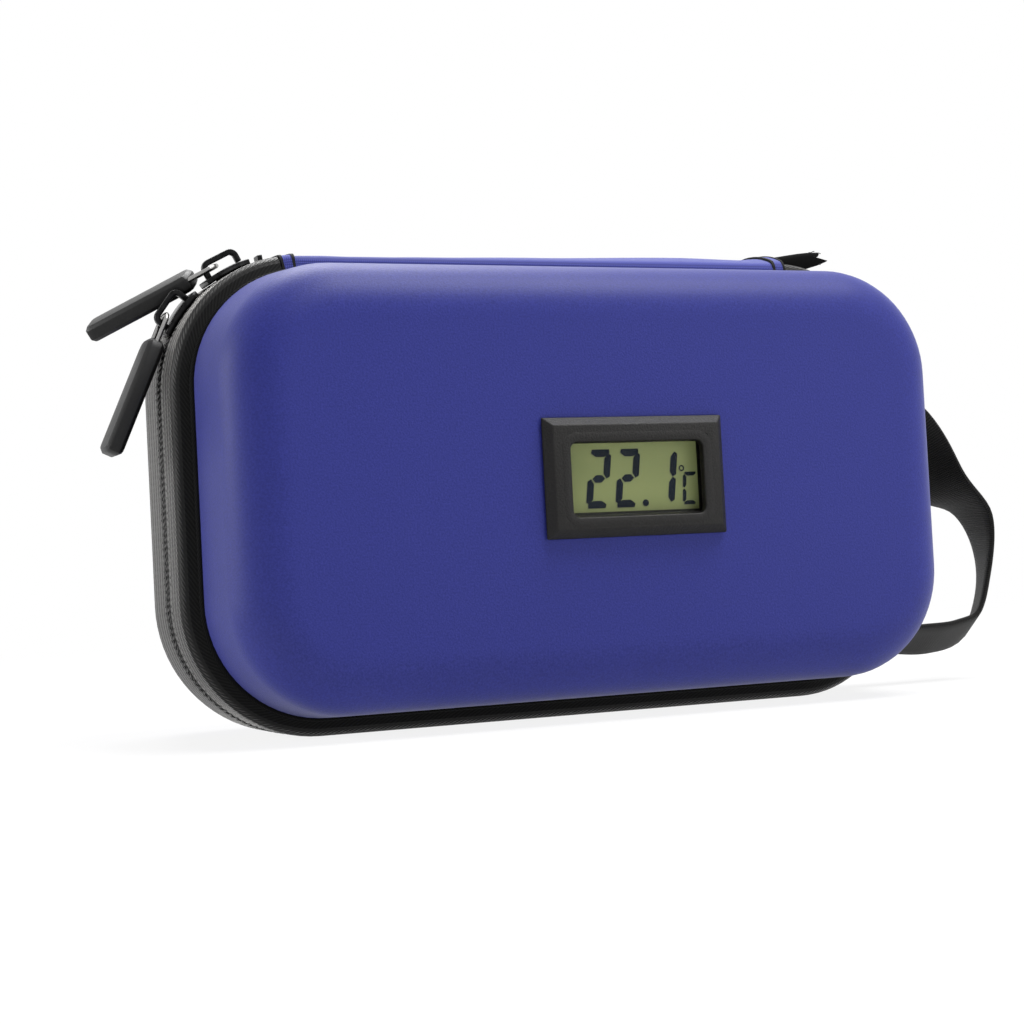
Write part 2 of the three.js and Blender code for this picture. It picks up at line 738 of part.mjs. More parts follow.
// Unit button in the rear cover and the switch that it presses
const plungerTo = partsFrom + switchHeight + plungerHeight;
const switchBody = moduleBlock(switchSize, switchSize, partsFrom, partsFrom + switchHeight, buttonX);
const plungerFrom = plungerTo - plungerHeight * 1.5;
const plunger = new THREE.CylinderGeometry(plungerRadius, plungerRadius, plungerHeight * 1.5, 16);
plunger.translate(moduleX + buttonX, into((plungerFrom + plungerTo) / 2), midHeight);
piece('unit_switch', switchBody.add(solid(plunger)), 'epoxy');

const buttonFrom = plungerTo + clear + buttonTravel;
const flangeTo = coverFrom - clear;
const buttonTo = coverTo + buttonProud;
const buttonProfile = [
  [0, 0],
  [plungerRadius, 0],
  [plungerRadius, (flangeTo - buttonFrom) / 2],
  [buttonFlange, (flangeTo - buttonFrom) / 2],
  [buttonFlange, flangeTo - buttonFrom],
  [buttonRadius, flangeTo - buttonFrom],
  [buttonRadius, buttonTo - buttonFrom - buttonTravel / 2],
  [buttonRadius - buttonTravel / 2, buttonTo - buttonFrom],
  [0, buttonTo - buttonFrom],
];
piece('unit_button', turned(buttonProfile, 20, moduleX + buttonX, into(buttonFrom), midHeight), 'housing');

// Spring clips at the module's two ends, bearing on the back of the liner
const clipFrom = linerIn + clear;
for (const [name, side] of [['left', -1], ['right', 1]]) {
  const legX = side * (bodyWidth / 2 + clear + clipThick / 2);
  const footX = side * (bodyWidth / 2 + clear + clipReach / 2);
  const leg = moduleBlock(clipThick, clipHeight, clipFrom, clipFrom + clipLeg, legX);
  const foot = moduleBlock(clipReach, clipHeight, clipFrom, clipFrom + clipThick, footX);
  piece(`clip_${name}`, leg.add(foot), 'steel');
}

// Pen board wedged across the rear liner
const boardBack = boardFront + boardGauge;
const penBoardInset = bandProud + linerIn + draftAt(boardBack) + clear;
piece('pen_board', moulding([[boardFront, penBoardInset], [boardBack, penBoardInset]]), 'cloth');

// Cold pack: a filled pouch behind the board, crowned on both faces
const packFront = boardBack + clear;
const packBack = packFront + packThick;

function packBody() {
  const swell = [[0, 0.1], [0.25, 0.02], [0.5, 0], [0.75, 0.02], [1, 0.1]];
  return loft(swell.map(([share, drawIn]) => {
    const inset = 2 * drawIn * packHeight;
    return {
      y: packFront + packThick * share,
      x: 0,
      z: midHeight,
      points: outlinePoints(packLength - inset, packHeight - inset, packCorner),
    };
  }));
}

piece('cold_pack', packBody(), 'gel');

// Two elastic bands round the cold pack, sewn to the back of the board
function packBandShape() {
  const inner = packHeight / 2 + clear;
  const outer = inner + elasticThick;
  const web = packBack + clear;
  const shape = new THREE.Shape();
  shape.moveTo(-outer, packFront);
  shape.lineTo(-inner, packFront);
  shape.lineTo(-inner, web);
  shape.lineTo(inner, web);
  shape.lineTo(inner, packFront);
  shape.lineTo(outer, packFront);
  shape.lineTo(outer, web + elasticThick);
  shape.lineTo(-outer, web + elasticThick);
  return shape;
}

for (const [name, side] of [['left', -1], ['right', 1]]) {
  const band = drawnAcross(packBandShape(), packBandWidth).translate(side * packBandX, 0, midHeight);
  piece(`pack_band_${name}`, solid(band), 'elastic');
}

// Two elastic strips on the board's front, looped to hold pens lengthwise
function penLoopShape() {
  const pitch = 2 * (penRadius + loopThick) + loopFoot;
  const start = -pitch * penCount / 2 - loopFoot / 2;
  const centres = Array.from({ length: penCount }, (_, index) => pitch * (index - (penCount - 1) / 2));
  const shape = new THREE.Shape();
  shape.moveTo(start, 0);
  for (const centre of centres) {
    shape.lineTo(centre - penRadius, 0);
    shape.lineTo(centre - penRadius, -penSide);
    shape.absarc(centre, -penSide, penRadius, Math.PI, 2 * Math.PI, false);
    shape.lineTo(centre + penRadius, 0);
  }
  shape.lineTo(-start, 0);
  shape.lineTo(-start, -loopThick);
  for (const centre of [...centres].reverse()) {
    shape.lineTo(centre + penRadius + loopThick, -loopThick);
    shape.lineTo(centre + penRadius + loopThick, -penSide);
    shape.absarc(centre, -penSide, penRadius + loopThick, 2 * Math.PI, Math.PI, true);
    shape.lineTo(centre - penRadius - loopThick, -loopThick);
  }
  shape.lineTo(start, -loopThick);
  return shape;
}

for (const [name, side] of [['left', -1], ['right', 1]]) {
  const loops = drawnAcross(penLoopShape(), loopWidth, 6);
  loops.translate(side * loopX, boardFront - clear, midHeight);
  piece(`pen_loops_${name}`, solid(loops), 'elastic');
}

export default insulinCase;
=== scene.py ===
import json
import math
import random
import bpy
import bmesh
from mathutils import Matrix, Vector, geometry

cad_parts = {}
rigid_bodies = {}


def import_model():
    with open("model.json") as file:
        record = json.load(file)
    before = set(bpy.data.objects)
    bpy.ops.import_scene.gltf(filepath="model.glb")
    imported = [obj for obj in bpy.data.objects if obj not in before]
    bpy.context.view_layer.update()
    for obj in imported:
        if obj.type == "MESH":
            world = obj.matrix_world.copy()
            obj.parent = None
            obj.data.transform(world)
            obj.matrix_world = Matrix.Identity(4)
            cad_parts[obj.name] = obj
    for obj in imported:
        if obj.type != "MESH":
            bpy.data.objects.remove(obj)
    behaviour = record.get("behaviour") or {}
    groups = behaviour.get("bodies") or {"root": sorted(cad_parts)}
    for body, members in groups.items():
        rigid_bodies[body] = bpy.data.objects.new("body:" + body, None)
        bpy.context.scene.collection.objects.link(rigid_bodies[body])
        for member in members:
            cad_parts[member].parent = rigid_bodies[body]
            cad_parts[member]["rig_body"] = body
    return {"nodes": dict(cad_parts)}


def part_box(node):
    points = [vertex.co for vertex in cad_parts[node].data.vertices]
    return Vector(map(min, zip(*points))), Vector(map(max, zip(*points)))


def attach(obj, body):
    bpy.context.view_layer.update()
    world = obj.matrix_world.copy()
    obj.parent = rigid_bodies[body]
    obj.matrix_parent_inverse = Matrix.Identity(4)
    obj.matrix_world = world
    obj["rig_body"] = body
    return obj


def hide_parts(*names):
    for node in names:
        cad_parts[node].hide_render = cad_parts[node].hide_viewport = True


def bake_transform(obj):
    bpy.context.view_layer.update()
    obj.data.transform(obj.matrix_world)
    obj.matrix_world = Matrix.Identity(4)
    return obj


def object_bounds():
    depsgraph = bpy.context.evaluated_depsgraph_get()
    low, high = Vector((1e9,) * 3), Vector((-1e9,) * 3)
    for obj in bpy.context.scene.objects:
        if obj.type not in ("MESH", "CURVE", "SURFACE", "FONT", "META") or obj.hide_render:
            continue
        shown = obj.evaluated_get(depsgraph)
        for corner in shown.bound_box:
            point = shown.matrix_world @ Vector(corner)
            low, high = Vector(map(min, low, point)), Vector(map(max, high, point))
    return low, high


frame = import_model()
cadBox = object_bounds()
scene = bpy.context.scene
print("frame loaded")

# Camera and studio

photoCamera = {
    "place": (-0.2164, -0.46897, 0.03489),
    "yaw": 23.86,
    "pitch": 1.937,
    "roll": -3.012,
    "lens": 70.28,
    "sensor": 36.0,
}

studio = {
    "air": 0.2,             # light from all round
    "floorSize": 6.0,
    "floorColour": (0.9, 0.9, 0.9, 1),
    "floorGlow": 0.86,      # share of plain white that is seen on the floor beside the case
    "floorRough": 0.9,
    "floorNear": 0.15,      # distance at which the glow starts to rise
    "floorFade": 0.9,       # distance at which the floor is plain white
    "lamps": {
        "topLamp": {"place": (0.33, -0.33, 1.05), "size": 0.6, "watts": 15.0},
        "backLamp": {"place": (0.1, 0.5, 0.95), "size": 0.6, "watts": 9.0},
        "leftLamp": {"place": (-0.95, 0.35, 0.3), "size": 0.5, "watts": 5.5},
        "rightLamp": {"place": (0.6, -0.7, 0.3), "size": 0.5, "watts": 1.2},
    },
}


def makeCamera():
    data = bpy.data.cameras.new("photoCamera")
    data.lens = photoCamera["lens"]
    data.sensor_width = photoCamera["sensor"]
    data.clip_start = 0.01
    camera = bpy.data.objects.new("photoCamera", data)
    scene.collection.objects.link(camera)
    turn = Matrix.Rotation(math.radians(-photoCamera["yaw"]), 4, "Z")
    tilt = Matrix.Rotation(math.radians(90 + photoCamera["pitch"]), 4, "X")
    roll = Matrix.Rotation(math.radians(photoCamera["roll"]), 4, "Z")
    camera.matrix_world = Matrix.Translation(photoCamera["place"]) @ turn @ tilt @ roll
    scene.camera = camera


# One node with its settings, its plain values and the sockets that feed it
def addNode(tree, kind, settings=None, inputs=None):
    node = tree.nodes.new(kind)
    for key, value in (settings or {}).items():
        setattr(node, key, value)
    for key, value in (inputs or {}).items():
        if isinstance(value, bpy.types.NodeSocket):
            tree.links.new(value, node.inputs[key])
        else:
            node.inputs[key].default_value = value
    return node


# 1 for rays that should see the pale surroundings: from the camera, a mirror or glass
def seenRays(tree):
    rays = addNode(tree, "ShaderNodeLightPath")
    glossy = addNode(tree, "ShaderNodeMath", {"operation": "MAXIMUM"}, {
        0: rays.outputs["Is Glossy Ray"], 1: rays.outputs["Is Transmission Ray"]})
    return addNode(tree, "ShaderNodeMath", {"operation": "MAXIMUM"}, {
        0: rays.outputs["Is Camera Ray"], 1: glossy.outputs[0]}).outputs[0]


def makeAir():
    world = bpy.data.worlds.new("studioAir")
    world.use_nodes = True
    tree = world.node_tree
    lit = tree.nodes["Background"]
    lit.inputs["Color"].default_value = (1, 1, 1, 1)
    lit.inputs["Strength"].default_value = studio["air"]
    white = addNode(tree, "ShaderNodeBackground", inputs={"Color": (1, 1, 1, 1), "Strength": 1.0})
    mix = addNode(tree, "ShaderNodeMixShader", inputs={
        "Fac": seenRays(tree), 1: lit.outputs[0], 2: white.outputs[0]})
    tree.links.new(mix.outputs[0], tree.nodes["World Output"].inputs["Surface"])
    scene.world = world


def makeFloor():
    bm = bmesh.new()
    bmesh.ops.create_grid(bm, x_segments=1, y_segments=1, size=studio["floorSize"] / 2)
    mesh = bpy.data.meshes.new("floor")
    bm.to_mesh(mesh)
    bm.free()
    floor = bpy.data.objects.new("floor", mesh)
    scene.collection.objects.link(floor)
    material = bpy.data.materials.new("paleFloor")
    material.use_nodes = True
    tree = material.node_tree
    base = tree.nodes["Principled BSDF"]
    base.inputs["Base Color"].default_value = studio["floorColour"]
    base.inputs["Roughness"].default_value = studio["floorRough"]
    glow = addNode(tree, "ShaderNodeEmission")
    place = addNode(tree, "ShaderNodeTexCoord")
    away = addNode(tree, "ShaderNodeVectorMath", {"operation": "LENGTH"}, {0: place.outputs["Object"]})
    share = addNode(tree, "ShaderNodeMapRange", inputs={
        "Value": away.outputs["Value"], "From Min": studio["floorNear"], "From Max": studio["floorFade"],
        "To Min": studio["floorGlow"], "To Max": 1.0})
    seen = addNode(tree, "ShaderNodeMath", {"operation": "MULTIPLY"}, {
        0: seenRays(tree), 1: share.outputs[0]})
    mix = addNode(tree, "ShaderNodeMixShader", inputs={
        "Fac": seen.outputs[0], 1: base.outputs[0], 2: glow.outputs[0]})
    tree.links.new(mix.outputs[0], tree.nodes["Material Output"].inputs["Surface"])
    mesh.materials.append(material)


def makeLamps():
    aim = (cadBox[0] + cadBox[1]) / 2
    for name, lamp in studio["lamps"].items():
        data = bpy.data.lights.new(name, "AREA")
        data.shape = "DISK"
        data.size = lamp["size"]
        data.energy = lamp["watts"]
        light = bpy.data.objects.new(name, data)
        scene.collection.objects.link(light)
        light.location = lamp["place"]
        light.rotation_euler = (aim - light.location).to_track_quat("-Z", "Y").to_euler()


makeCamera()
makeAir()
makeFloor()
makeLamps()
scene.view_settings.view_transform = "Standard"
print("camera and studio ready")


# Finishes

def newFinish(name, colour, roughness, **more):
    material = bpy.data.materials.new(name)
    material.use_nodes = True
    base = material.node_tree.nodes["Principled BSDF"]
    base.inputs["Base Color"].default_value = (*colour, 1)
    base.inputs["Roughness"].default_value = roughness
    names = {"metal": "Metallic", "gloss": "Specular IOR Level", "sheen": "Sheen Weight",
             "sheenRough": "Sheen Roughness", "sheenTint": "Sheen Tint", "alpha": "Alpha",
             "coat": "Coat Weight"}
    for key, value in more.items():
        base.inputs[names[key]].default_value = value
    return material


# A space in millimetres to draw a pattern in, from the piece's own coordinates or its UV map
def patternSpace(material, source="Object", turn=(0, 0, 0)):
    tree = material.node_tree
    place = addNode(tree, "ShaderNodeTexCoord")
    return addNode(tree, "ShaderNodeMapping", inputs={
        "Vector": place.outputs[source], "Scale": (1000, 1000, 1000), "Rotation": turn}).outputs[0]


def speckle(material, space, scale, detail=2.0):
    return addNode(material.node_tree, "ShaderNodeTexNoise", inputs={
        "Vector": space, "Scale": scale, "Detail": detail, "Roughness": 0.6}).outputs["Fac"]


# Soft ridges; a wave of scale 1 repeats every 2 pi / 20
def lines(material, space, pitch, axis):
    wave = addNode(material.node_tree, "ShaderNodeTexWave", {
        "wave_type": "BANDS", "bands_direction": axis, "wave_profile": "SIN"}, {
        "Vector": space, "Scale": 2 * math.pi / 20 / pitch})
    return wave.outputs["Fac"]


def combine(material, operation, one, other):
    node = addNode(material.node_tree, "ShaderNodeMath", {"operation": operation}, {0: one, 1: other})
    return node.outputs[0]


def shade(material, fac, dark, light, low=0.3, high=0.7):
    tree = material.node_tree
    ramp = addNode(tree, "ShaderNodeValToRGB", inputs={"Fac": fac})
    ramp.color_ramp.elements[0].position = low
    ramp.color_ramp.elements[0].color = (*dark, 1)
    ramp.color_ramp.elements[1].position = high
    ramp.color_ramp.elements[1].color = (*light, 1)
    tree.links.new(ramp.outputs["Color"], tree.nodes["Principled BSDF"].inputs["Base Color"])


def emboss(material, height, depth, strength=1.0):
    tree = material.node_tree
    bump = addNode(tree, "ShaderNodeBump", inputs={"Height": height, "Distance": depth, "Strength": strength})
    tree.links.new(bump.outputs["Normal"], tree.nodes["Principled BSDF"].inputs["Normal"])


def roughen(material, fac, low, high):
    tree = material.node_tree
    spread = addNode(tree, "ShaderNodeMapRange", inputs={"Value": fac, "To Min": low, "To Max": high})
    tree.links.new(spread.outputs[0], tree.nodes["Principled BSDF"].inputs["Roughness"])


def shellCloth():
    material = newFinish("shellCloth", (0.02, 0.0252, 0.178), 0.5, gloss=0.2, sheen=0.12,
                         sheenRough=0.3, sheenTint=(0.74, 0.77, 1, 1))
    space = patternSpace(material)
    fine = speckle(material, space, 2.2, 3.0)
    shade(material, fine, (0.015, 0.0194, 0.142), (0.025, 0.0312, 0.212))
    emboss(material, fine, 0.00012, 0.5)
    roughen(material, speckle(material, space, 0.05), 0.48, 0.52)
    return material


def hingeCloth():
    material = newFinish("hingeCloth", (0.04, 0.05, 0.27), 0.65, gloss=0.15, sheen=0.4,
                         sheenTint=(0.7, 0.74, 1, 1))
    space = patternSpace(material, "UV")
    warp = lines(material, space, 0.5, "X")
    weft = lines(material, space, 0.5, "Y")
    weave = combine(material, "MULTIPLY", warp, weft)
    shade(material, weave, (0.028, 0.034, 0.2), (0.052, 0.062, 0.33), 0.0, 0.6)
    emboss(material, weave, 0.00012, 0.6)
    return material


def tapeTwill():
    material = newFinish("tapeTwill", (0.012, 0.012, 0.012), 0.45, gloss=0.18, sheen=0.55, sheenRough=0.28,
                         sheenTint=(0.95, 0.93, 0.9, 1))
    space = patternSpace(material, "UV", (0, 0, math.radians(-52)))
    rib = lines(material, space, 0.85, "X")
    cord = lines(material, patternSpace(material, "UV"), 2.2, "Y")
    weave = combine(material, "MULTIPLY", rib, cord)
    shade(material, weave, (0.004, 0.004, 0.004), (0.03, 0.0293, 0.0285), 0.05, 0.85)
    emboss(material, weave, 0.00022, 0.8)
    return material


# The tape's flank beyond the fold is a darker copy of the tape's twill: painted shade, where it lies in the
# shade of the shell
def shadedFlankTwill():
    material = newFinish("shadedFlankTwill", (0.005, 0.005, 0.005), 0.5, gloss=0.08, sheen=0.05)
    space = patternSpace(material, "UV", (0, 0, math.radians(-52)))
    rib = lines(material, space, 0.85, "X")
    shade(material, rib, (0.002, 0.002, 0.002), (0.009, 0.009, 0.009), 0.1, 0.9)
    emboss(material, rib, 0.00012, 0.5)
    return material


def pipingCloth():
    material = newFinish("pipingCloth", (0.0018, 0.0018, 0.002), 0.6, gloss=0.04)
    space = patternSpace(material, "UV", (0, 0, math.radians(45)))
    rib = lines(material, space, 0.7, "X")
    shade(material, rib, (0.001, 0.001, 0.0011), (0.0027, 0.0027, 0.003), 0.1, 0.9)
    emboss(material, rib, 0.00012, 0.6)
    return material


def sewingThread(name, dark, light):
    material = newFinish(name, light, 0.65, gloss=0.12)
    twist = speckle(material, patternSpace(material), 6.0)
    shade(material, twist, dark, light)
    emboss(material, twist, 0.00005)
    return material


def nylonCoil():
    material = newFinish("nylonCoil", (0.034, 0.033, 0.032), 0.35, gloss=0.5)
    mottle = speckle(material, patternSpace(material), 3.0)
    shade(material, mottle, (0.024, 0.0235, 0.023), (0.044, 0.043, 0.042))
    roughen(material, mottle, 0.28, 0.42)
    return material


def strapWebbing():
    material = newFinish("strapWebbing", (0.01, 0.0098, 0.0094), 0.6, gloss=0.08, sheen=0.08, sheenRough=0.4)
    space = patternSpace(material, "UV")
    ribs = lines(material, space, 0.62, "X")
    yarn = lines(material, space, 0.5, "Y")
    weave = combine(material, "MULTIPLY", ribs, combine(material, "ADD", yarn, 0.8))
    shade(material, weave, (0.005, 0.0049, 0.0047), (0.0155, 0.0152, 0.0146), 0.1, 1.2)
    emboss(material, weave, 0.0001, 0.6)
    return material


def knittedElastic():
    material = newFinish("knittedElastic", (0.02, 0.02, 0.022), 0.75, gloss=0.25, sheen=0.3)
    space = patternSpace(material)
    ribs = lines(material, space, 1.6, "X")
    yarn = lines(material, space, 0.6, "DIAGONAL")
    knit = combine(material, "MULTIPLY", ribs, combine(material, "ADD", yarn, 0.5))
    shade(material, knit, (0.008, 0.008, 0.009), (0.034, 0.034, 0.037), 0.1, 1.1)
    emboss(material, knit, 0.0003, 0.7)
    return material


def foilFoam():
    material = newFinish("foilFoam", (0.62, 0.63, 0.65), 0.32, metal=0.85)
    space = patternSpace(material)
    crinkle = addNode(material.node_tree, "ShaderNodeTexVoronoi", {"feature": "SMOOTH_F1"}, {
        "Vector": space, "Scale": 0.16, "Smoothness": 0.5}).outputs["Distance"]
    small = speckle(material, space, 0.5, 3.0)
    height = combine(material, "ADD", crinkle, combine(material, "MULTIPLY", small, 0.35))
    emboss(material, height, 0.0012, 0.35)
    roughen(material, small, 0.24, 0.42)
    shade(material, small, (0.54, 0.55, 0.57), (0.7, 0.71, 0.73))
    return material


def darkCloth():
    material = newFinish("darkCloth", (0.02, 0.022, 0.03), 0.8, gloss=0.2, sheen=0.3)
    space = patternSpace(material)
    fine = speckle(material, space, 1.6, 4.0)
    shade(material, fine, (0.012, 0.013, 0.02), (0.034, 0.036, 0.048))
    emboss(material, fine, 0.0002, 0.6)
    return material


def gelFilm():
    material = newFinish("gelFilm", (0.22, 0.5, 0.74), 0.22, gloss=0.5, coat=0.4)
    space = patternSpace(material)
    cloud = speckle(material, space, 0.06, 3.0)
    shade(material, cloud, (0.16, 0.42, 0.68), (0.34, 0.6, 0.8))
    emboss(material, speckle(material, space, 0.2, 3.0), 0.0008, 0.3)
    return material


def castMetal():
    material = newFinish("castMetal", (0.014, 0.014, 0.0145), 0.24, metal=1.0)
    space = patternSpace(material)
    mottle = speckle(material, space, 0.9, 3.0)
    shade(material, mottle, (0.008, 0.008, 0.0085), (0.02, 0.02, 0.0205))
    roughen(material, mottle, 0.18, 0.3)
    emboss(material, speckle(material, space, 3.0), 0.00003, 0.4)
    return material


def brightWire(name, colour):
    material = newFinish(name, colour, 0.24, metal=1.0)
    space = patternSpace(material)
    mottle = speckle(material, space, 1.4, 3.0)
    roughen(material, mottle, 0.18, 0.34)
    shade(material, mottle, [0.86 * c for c in colour], colour)
    return material


def pullRubber():
    material = newFinish("pullRubber", (0.0045, 0.0045, 0.0047), 0.44, gloss=0.28)
    space = patternSpace(material)
    grain = speckle(material, space, 2.6, 3.0)
    shade(material, grain, (0.003, 0.003, 0.0032), (0.0065, 0.0065, 0.0067))
    emboss(material, grain, 0.00006, 0.5)
    roughen(material, speckle(material, space, 0.4), 0.4, 0.54)
    return material


def housingPlastic():
    material = newFinish("housingPlastic", (0.0055, 0.005, 0.0047), 0.42, gloss=0.26)
    space = patternSpace(material)
    grain = speckle(material, space, 1.9, 4.0)
    shade(material, grain, (0.002, 0.0018, 0.0017), (0.0095, 0.0086, 0.0081), 0.25, 0.75)
    emboss(material, grain, 0.0002, 0.8)
    roughen(material, speckle(material, space, 0.5), 0.38, 0.52)
    return material


def displayFilm():
    material = newFinish("displayFilm", (0.25, 0.288, 0.113), 0.4, gloss=0.2)
    space = patternSpace(material)
    shade(material, speckle(material, space, 0.12, 3.0), (0.234, 0.272, 0.106), (0.266, 0.304, 0.122))
    roughen(material, speckle(material, space, 2.0), 0.35, 0.45)
    return material


def displayInk():
    material = newFinish("displayInk", (0.008, 0.012, 0.02), 0.45, gloss=0.08)
    mottle = speckle(material, patternSpace(material), 0.8)
    shade(material, mottle, (0.006, 0.01, 0.017), (0.01, 0.015, 0.025))
    return material


def displayLens():
    material = newFinish("displayLens", (0.02, 0.022, 0.02), 0.1, gloss=0.5, alpha=0.05)
    roughen(material, speckle(material, patternSpace(material), 0.3), 0.07, 0.14)
    return material


def plainSpeckled(name, dark, light, roughness, scale=1.0, **more):
    material = newFinish(name, light, roughness, **more)
    mottle = speckle(material, patternSpace(material), scale, 3.0)
    shade(material, mottle, dark, light)
    roughen(material, mottle, roughness * 0.85, roughness * 1.15)
    return material


finishes = {
    "shell": shellCloth(),
    "cloth": hingeCloth(),
    "board cloth": darkCloth(),
    "tape": tapeTwill(),
    "flank": shadedFlankTwill(),
    "binding": pipingCloth(),
    "coil": nylonCoil(),
    "dark thread": sewingThread("darkThread", (0.003, 0.003, 0.003), (0.009, 0.009, 0.0093)),
    "grey thread": sewingThread("greyThread", (0.05, 0.05, 0.048), (0.13, 0.13, 0.125)),
    "webbing": strapWebbing(),
    "elastic": knittedElastic(),
    "foil": foilFoam(),
    "gel": gelFilm(),
    "gunmetal": castMetal(),
    "steel": brightWire("brightSteel", (0.62, 0.6, 0.56)),
    "black nickel": brightWire("blackNickel", (0.33, 0.326, 0.32)),
    "grip": pullRubber(),
    "housing": housingPlastic(),
    "lens": displayLens(),
    "lcd": displayFilm(),
    "ink": displayInk(),
    "digit shadow": plainSpeckled("digitShadow", (0.165, 0.195, 0.075), (0.185, 0.215, 0.085), 0.45),
    "tail cloth": plainSpeckled("tailCloth", (0.001, 0.001, 0.0011), (0.005, 0.005, 0.0052), 0.8, 3.0,
                                gloss=0.03),
    "rubber": plainSpeckled("zebraRubber", (0.22, 0.22, 0.21), (0.36, 0.36, 0.35), 0.7),
    "board": plainSpeckled("boardLacquer", (0.01, 0.075, 0.025), (0.018, 0.12, 0.045), 0.4),
    "epoxy": plainSpeckled("epoxyDrop", (0.004, 0.004, 0.004), (0.01, 0.01, 0.01), 0.3),
    "brass": brightWire("springBrass", (0.62, 0.42, 0.16)),
}
print("finishes ready:", len(finishes))


# Pieces

def newPiece(bm, name, finish, body, replaced=(), sharp=40, ride=True):
    mesh = bpy.data.meshes.new(name)
    bm.to_mesh(mesh)
    bm.free()
    mesh.shade_smooth()
    mesh.set_sharp_from_angle(angle=math.radians(sharp))
    mesh.materials.append(finishes[finish])
    piece = bpy.data.objects.new(name, mesh)
    scene.collection.objects.link(piece)
    if ride:
        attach(piece, body)
    if replaced:
        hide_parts(*replaced)
    return piece


def only(kind, found):
    return [item for item in found if isinstance(item, kind)]


def smoothShare(value):
    value = max(0.0, min(1.0, value))
    return value * value * (3 - 2 * value)


tiny = 1e-6         # lengths and angles below this are taken as nothing
upright = Matrix.Rotation(math.radians(90), 4, "X")     # stands a flat drawing up to face the front


def flatPlate(bm, width, height, place=Matrix.Identity(4)):
    size = Matrix.Diagonal((width, height, 1, 1))
    bmesh.ops.create_grid(bm, x_segments=1, y_segments=1, size=0.5, matrix=place @ size)


def roundCorners(bm, verts, offset, segments):
    bmesh.ops.bevel(bm, geom=verts, offset=offset, affect="VERTICES", segments=segments, profile=0.5,
                    material=-1)


def roundEdges(bm, edges, offset, segments, clamp=False):
    bmesh.ops.bevel(bm, geom=edges, offset=offset, affect="EDGES", segments=segments, profile=0.5,
                    material=-1, clamp_overlap=clamp)


def sharpEdges(bm, angle=50):
    return [e for e in bm.edges if e.is_manifold and e.calc_face_angle() > math.radians(angle)]


def faceOutwards(bm):
    bmesh.ops.recalc_face_normals(bm, faces=bm.faces)


def putAt(bm, place):
    bmesh.ops.transform(bm, matrix=place, verts=bm.verts)


def raiseFaces(bm, faces, height):
    raised = bmesh.ops.extrude_face_region(bm, geom=faces)["geom"]
    bmesh.ops.translate(bm, verts=only(bmesh.types.BMVert, raised), vec=(0, 0, height))


# A plate with its middle taken out, raised to a thickness
def flatFrame(bm, wide, thick):
    middle = bm.faces[:]
    bmesh.ops.inset_region(bm, faces=middle, thickness=wide, use_boundary=True, use_even_offset=True)
    bmesh.ops.delete(bm, geom=middle, context="FACES")
    raiseFaces(bm, bm.faces[:], thick)
    faceOutwards(bm)


def setUv(bm, read):
    layer = bm.loops.layers.uv.new("UVMap")
    for face in bm.faces:
        for loop in face.loops:
            loop[layer].uv = read(loop.vert)


def loopOf(bm, points):
    verts = [bm.verts.new(point) for point in points]
    return [bm.edges.new(pair) for pair in zip(verts, verts[1:] + verts[:1])]


# The edges among new geometry that join two new vertices
def newLoop(made):
    verts = set(only(bmesh.types.BMVert, made))
    return [edge for edge in only(bmesh.types.BMEdge, made) if verts.issuperset(edge.verts)]


# A closed loop of edges carried along a list of straight moves and turns
def sweepLoop(bm, edges, moves):
    for move in moves:
        if len(move) == 1:
            made = bmesh.ops.extrude_edge_only(bm, edges=edges)["geom"]
            bmesh.ops.translate(bm, verts=only(bmesh.types.BMVert, made), vec=move[0])
        else:
            centre, axis, angle, steps = move
            verts = list({v for e in edges for v in e.verts})
            made = bmesh.ops.spin(bm, geom=verts + edges, cent=centre, axis=axis, angle=math.radians(angle),
                                  steps=steps)["geom_last"]
        edges = newLoop(made)
    return edges


def fillEnds(bm, *loops):
    for loop in loops:
        bmesh.ops.edgeloop_fill(bm, edges=loop)


# Zip band: a rounded rectangle in X and Z, measured clockwise from its top middle as seen from
# the front

tapeLow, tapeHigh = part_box("rear_zip_tape")
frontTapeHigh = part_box("front_zip_tape")[1]
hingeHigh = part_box("hinge_strip")[1]
halves = [("front", -1, "lid"), ("rear", 1, "rear_half")]

band = {
    "corner": 0.033,
    "halfLength": tapeHigh.x,
    "top": tapeHigh.z,
    "seam": (tapeLow.y + frontTapeHigh.y) / 2,
    "turnSteps": 20,
    "lineStep": 0.006,
    "hingeShort": 0.004,     # the hinge cloth stops this far short of its solid at the right
}
bandFlat = band["halfLength"] - band["corner"]
bandSide = band["top"] - 2 * band["corner"]
bandTurn = band["corner"] * math.pi / 2
bandRuns = [
    ("line", bandFlat), ("turn", bandTurn), ("line", bandSide), ("turn", bandTurn), ("line", 2 * bandFlat),
    ("turn", bandTurn), ("line", bandSide), ("turn", bandTurn), ("line", bandFlat),
]
bandRound = sum(length for kind, length in bandRuns)
hingeEnd = bandFlat + band["corner"] * math.asin((hingeHigh.x - bandFlat) / band["corner"])
hingeLeft, hingeRight = -hingeEnd, hingeEnd - band["hingeShort"]


# Place on the band: X along it, Y to the back and Z outwards
def bandSpot(along):
    along %= bandRound
    turn = 0.0
    spot = Vector((0, 0, band["top"]))
    for kind, length in bandRuns:
        take = min(along, length)
        facing = Matrix.Rotation(turn, 3, "Y")
        if kind == "line":
            spot += facing @ Vector((take, 0, 0))
        else:
            angle = take / band["corner"]
            outwards = Vector((0, 0, band["corner"]))
            spot += Matrix.Rotation(turn + angle, 3, "Y") @ outwards - facing @ outwards
            turn += angle
        along -= take
        if along <= 0:
            break
    return Matrix.Translation(spot) @ Matrix.Rotation(turn, 4, "Y")


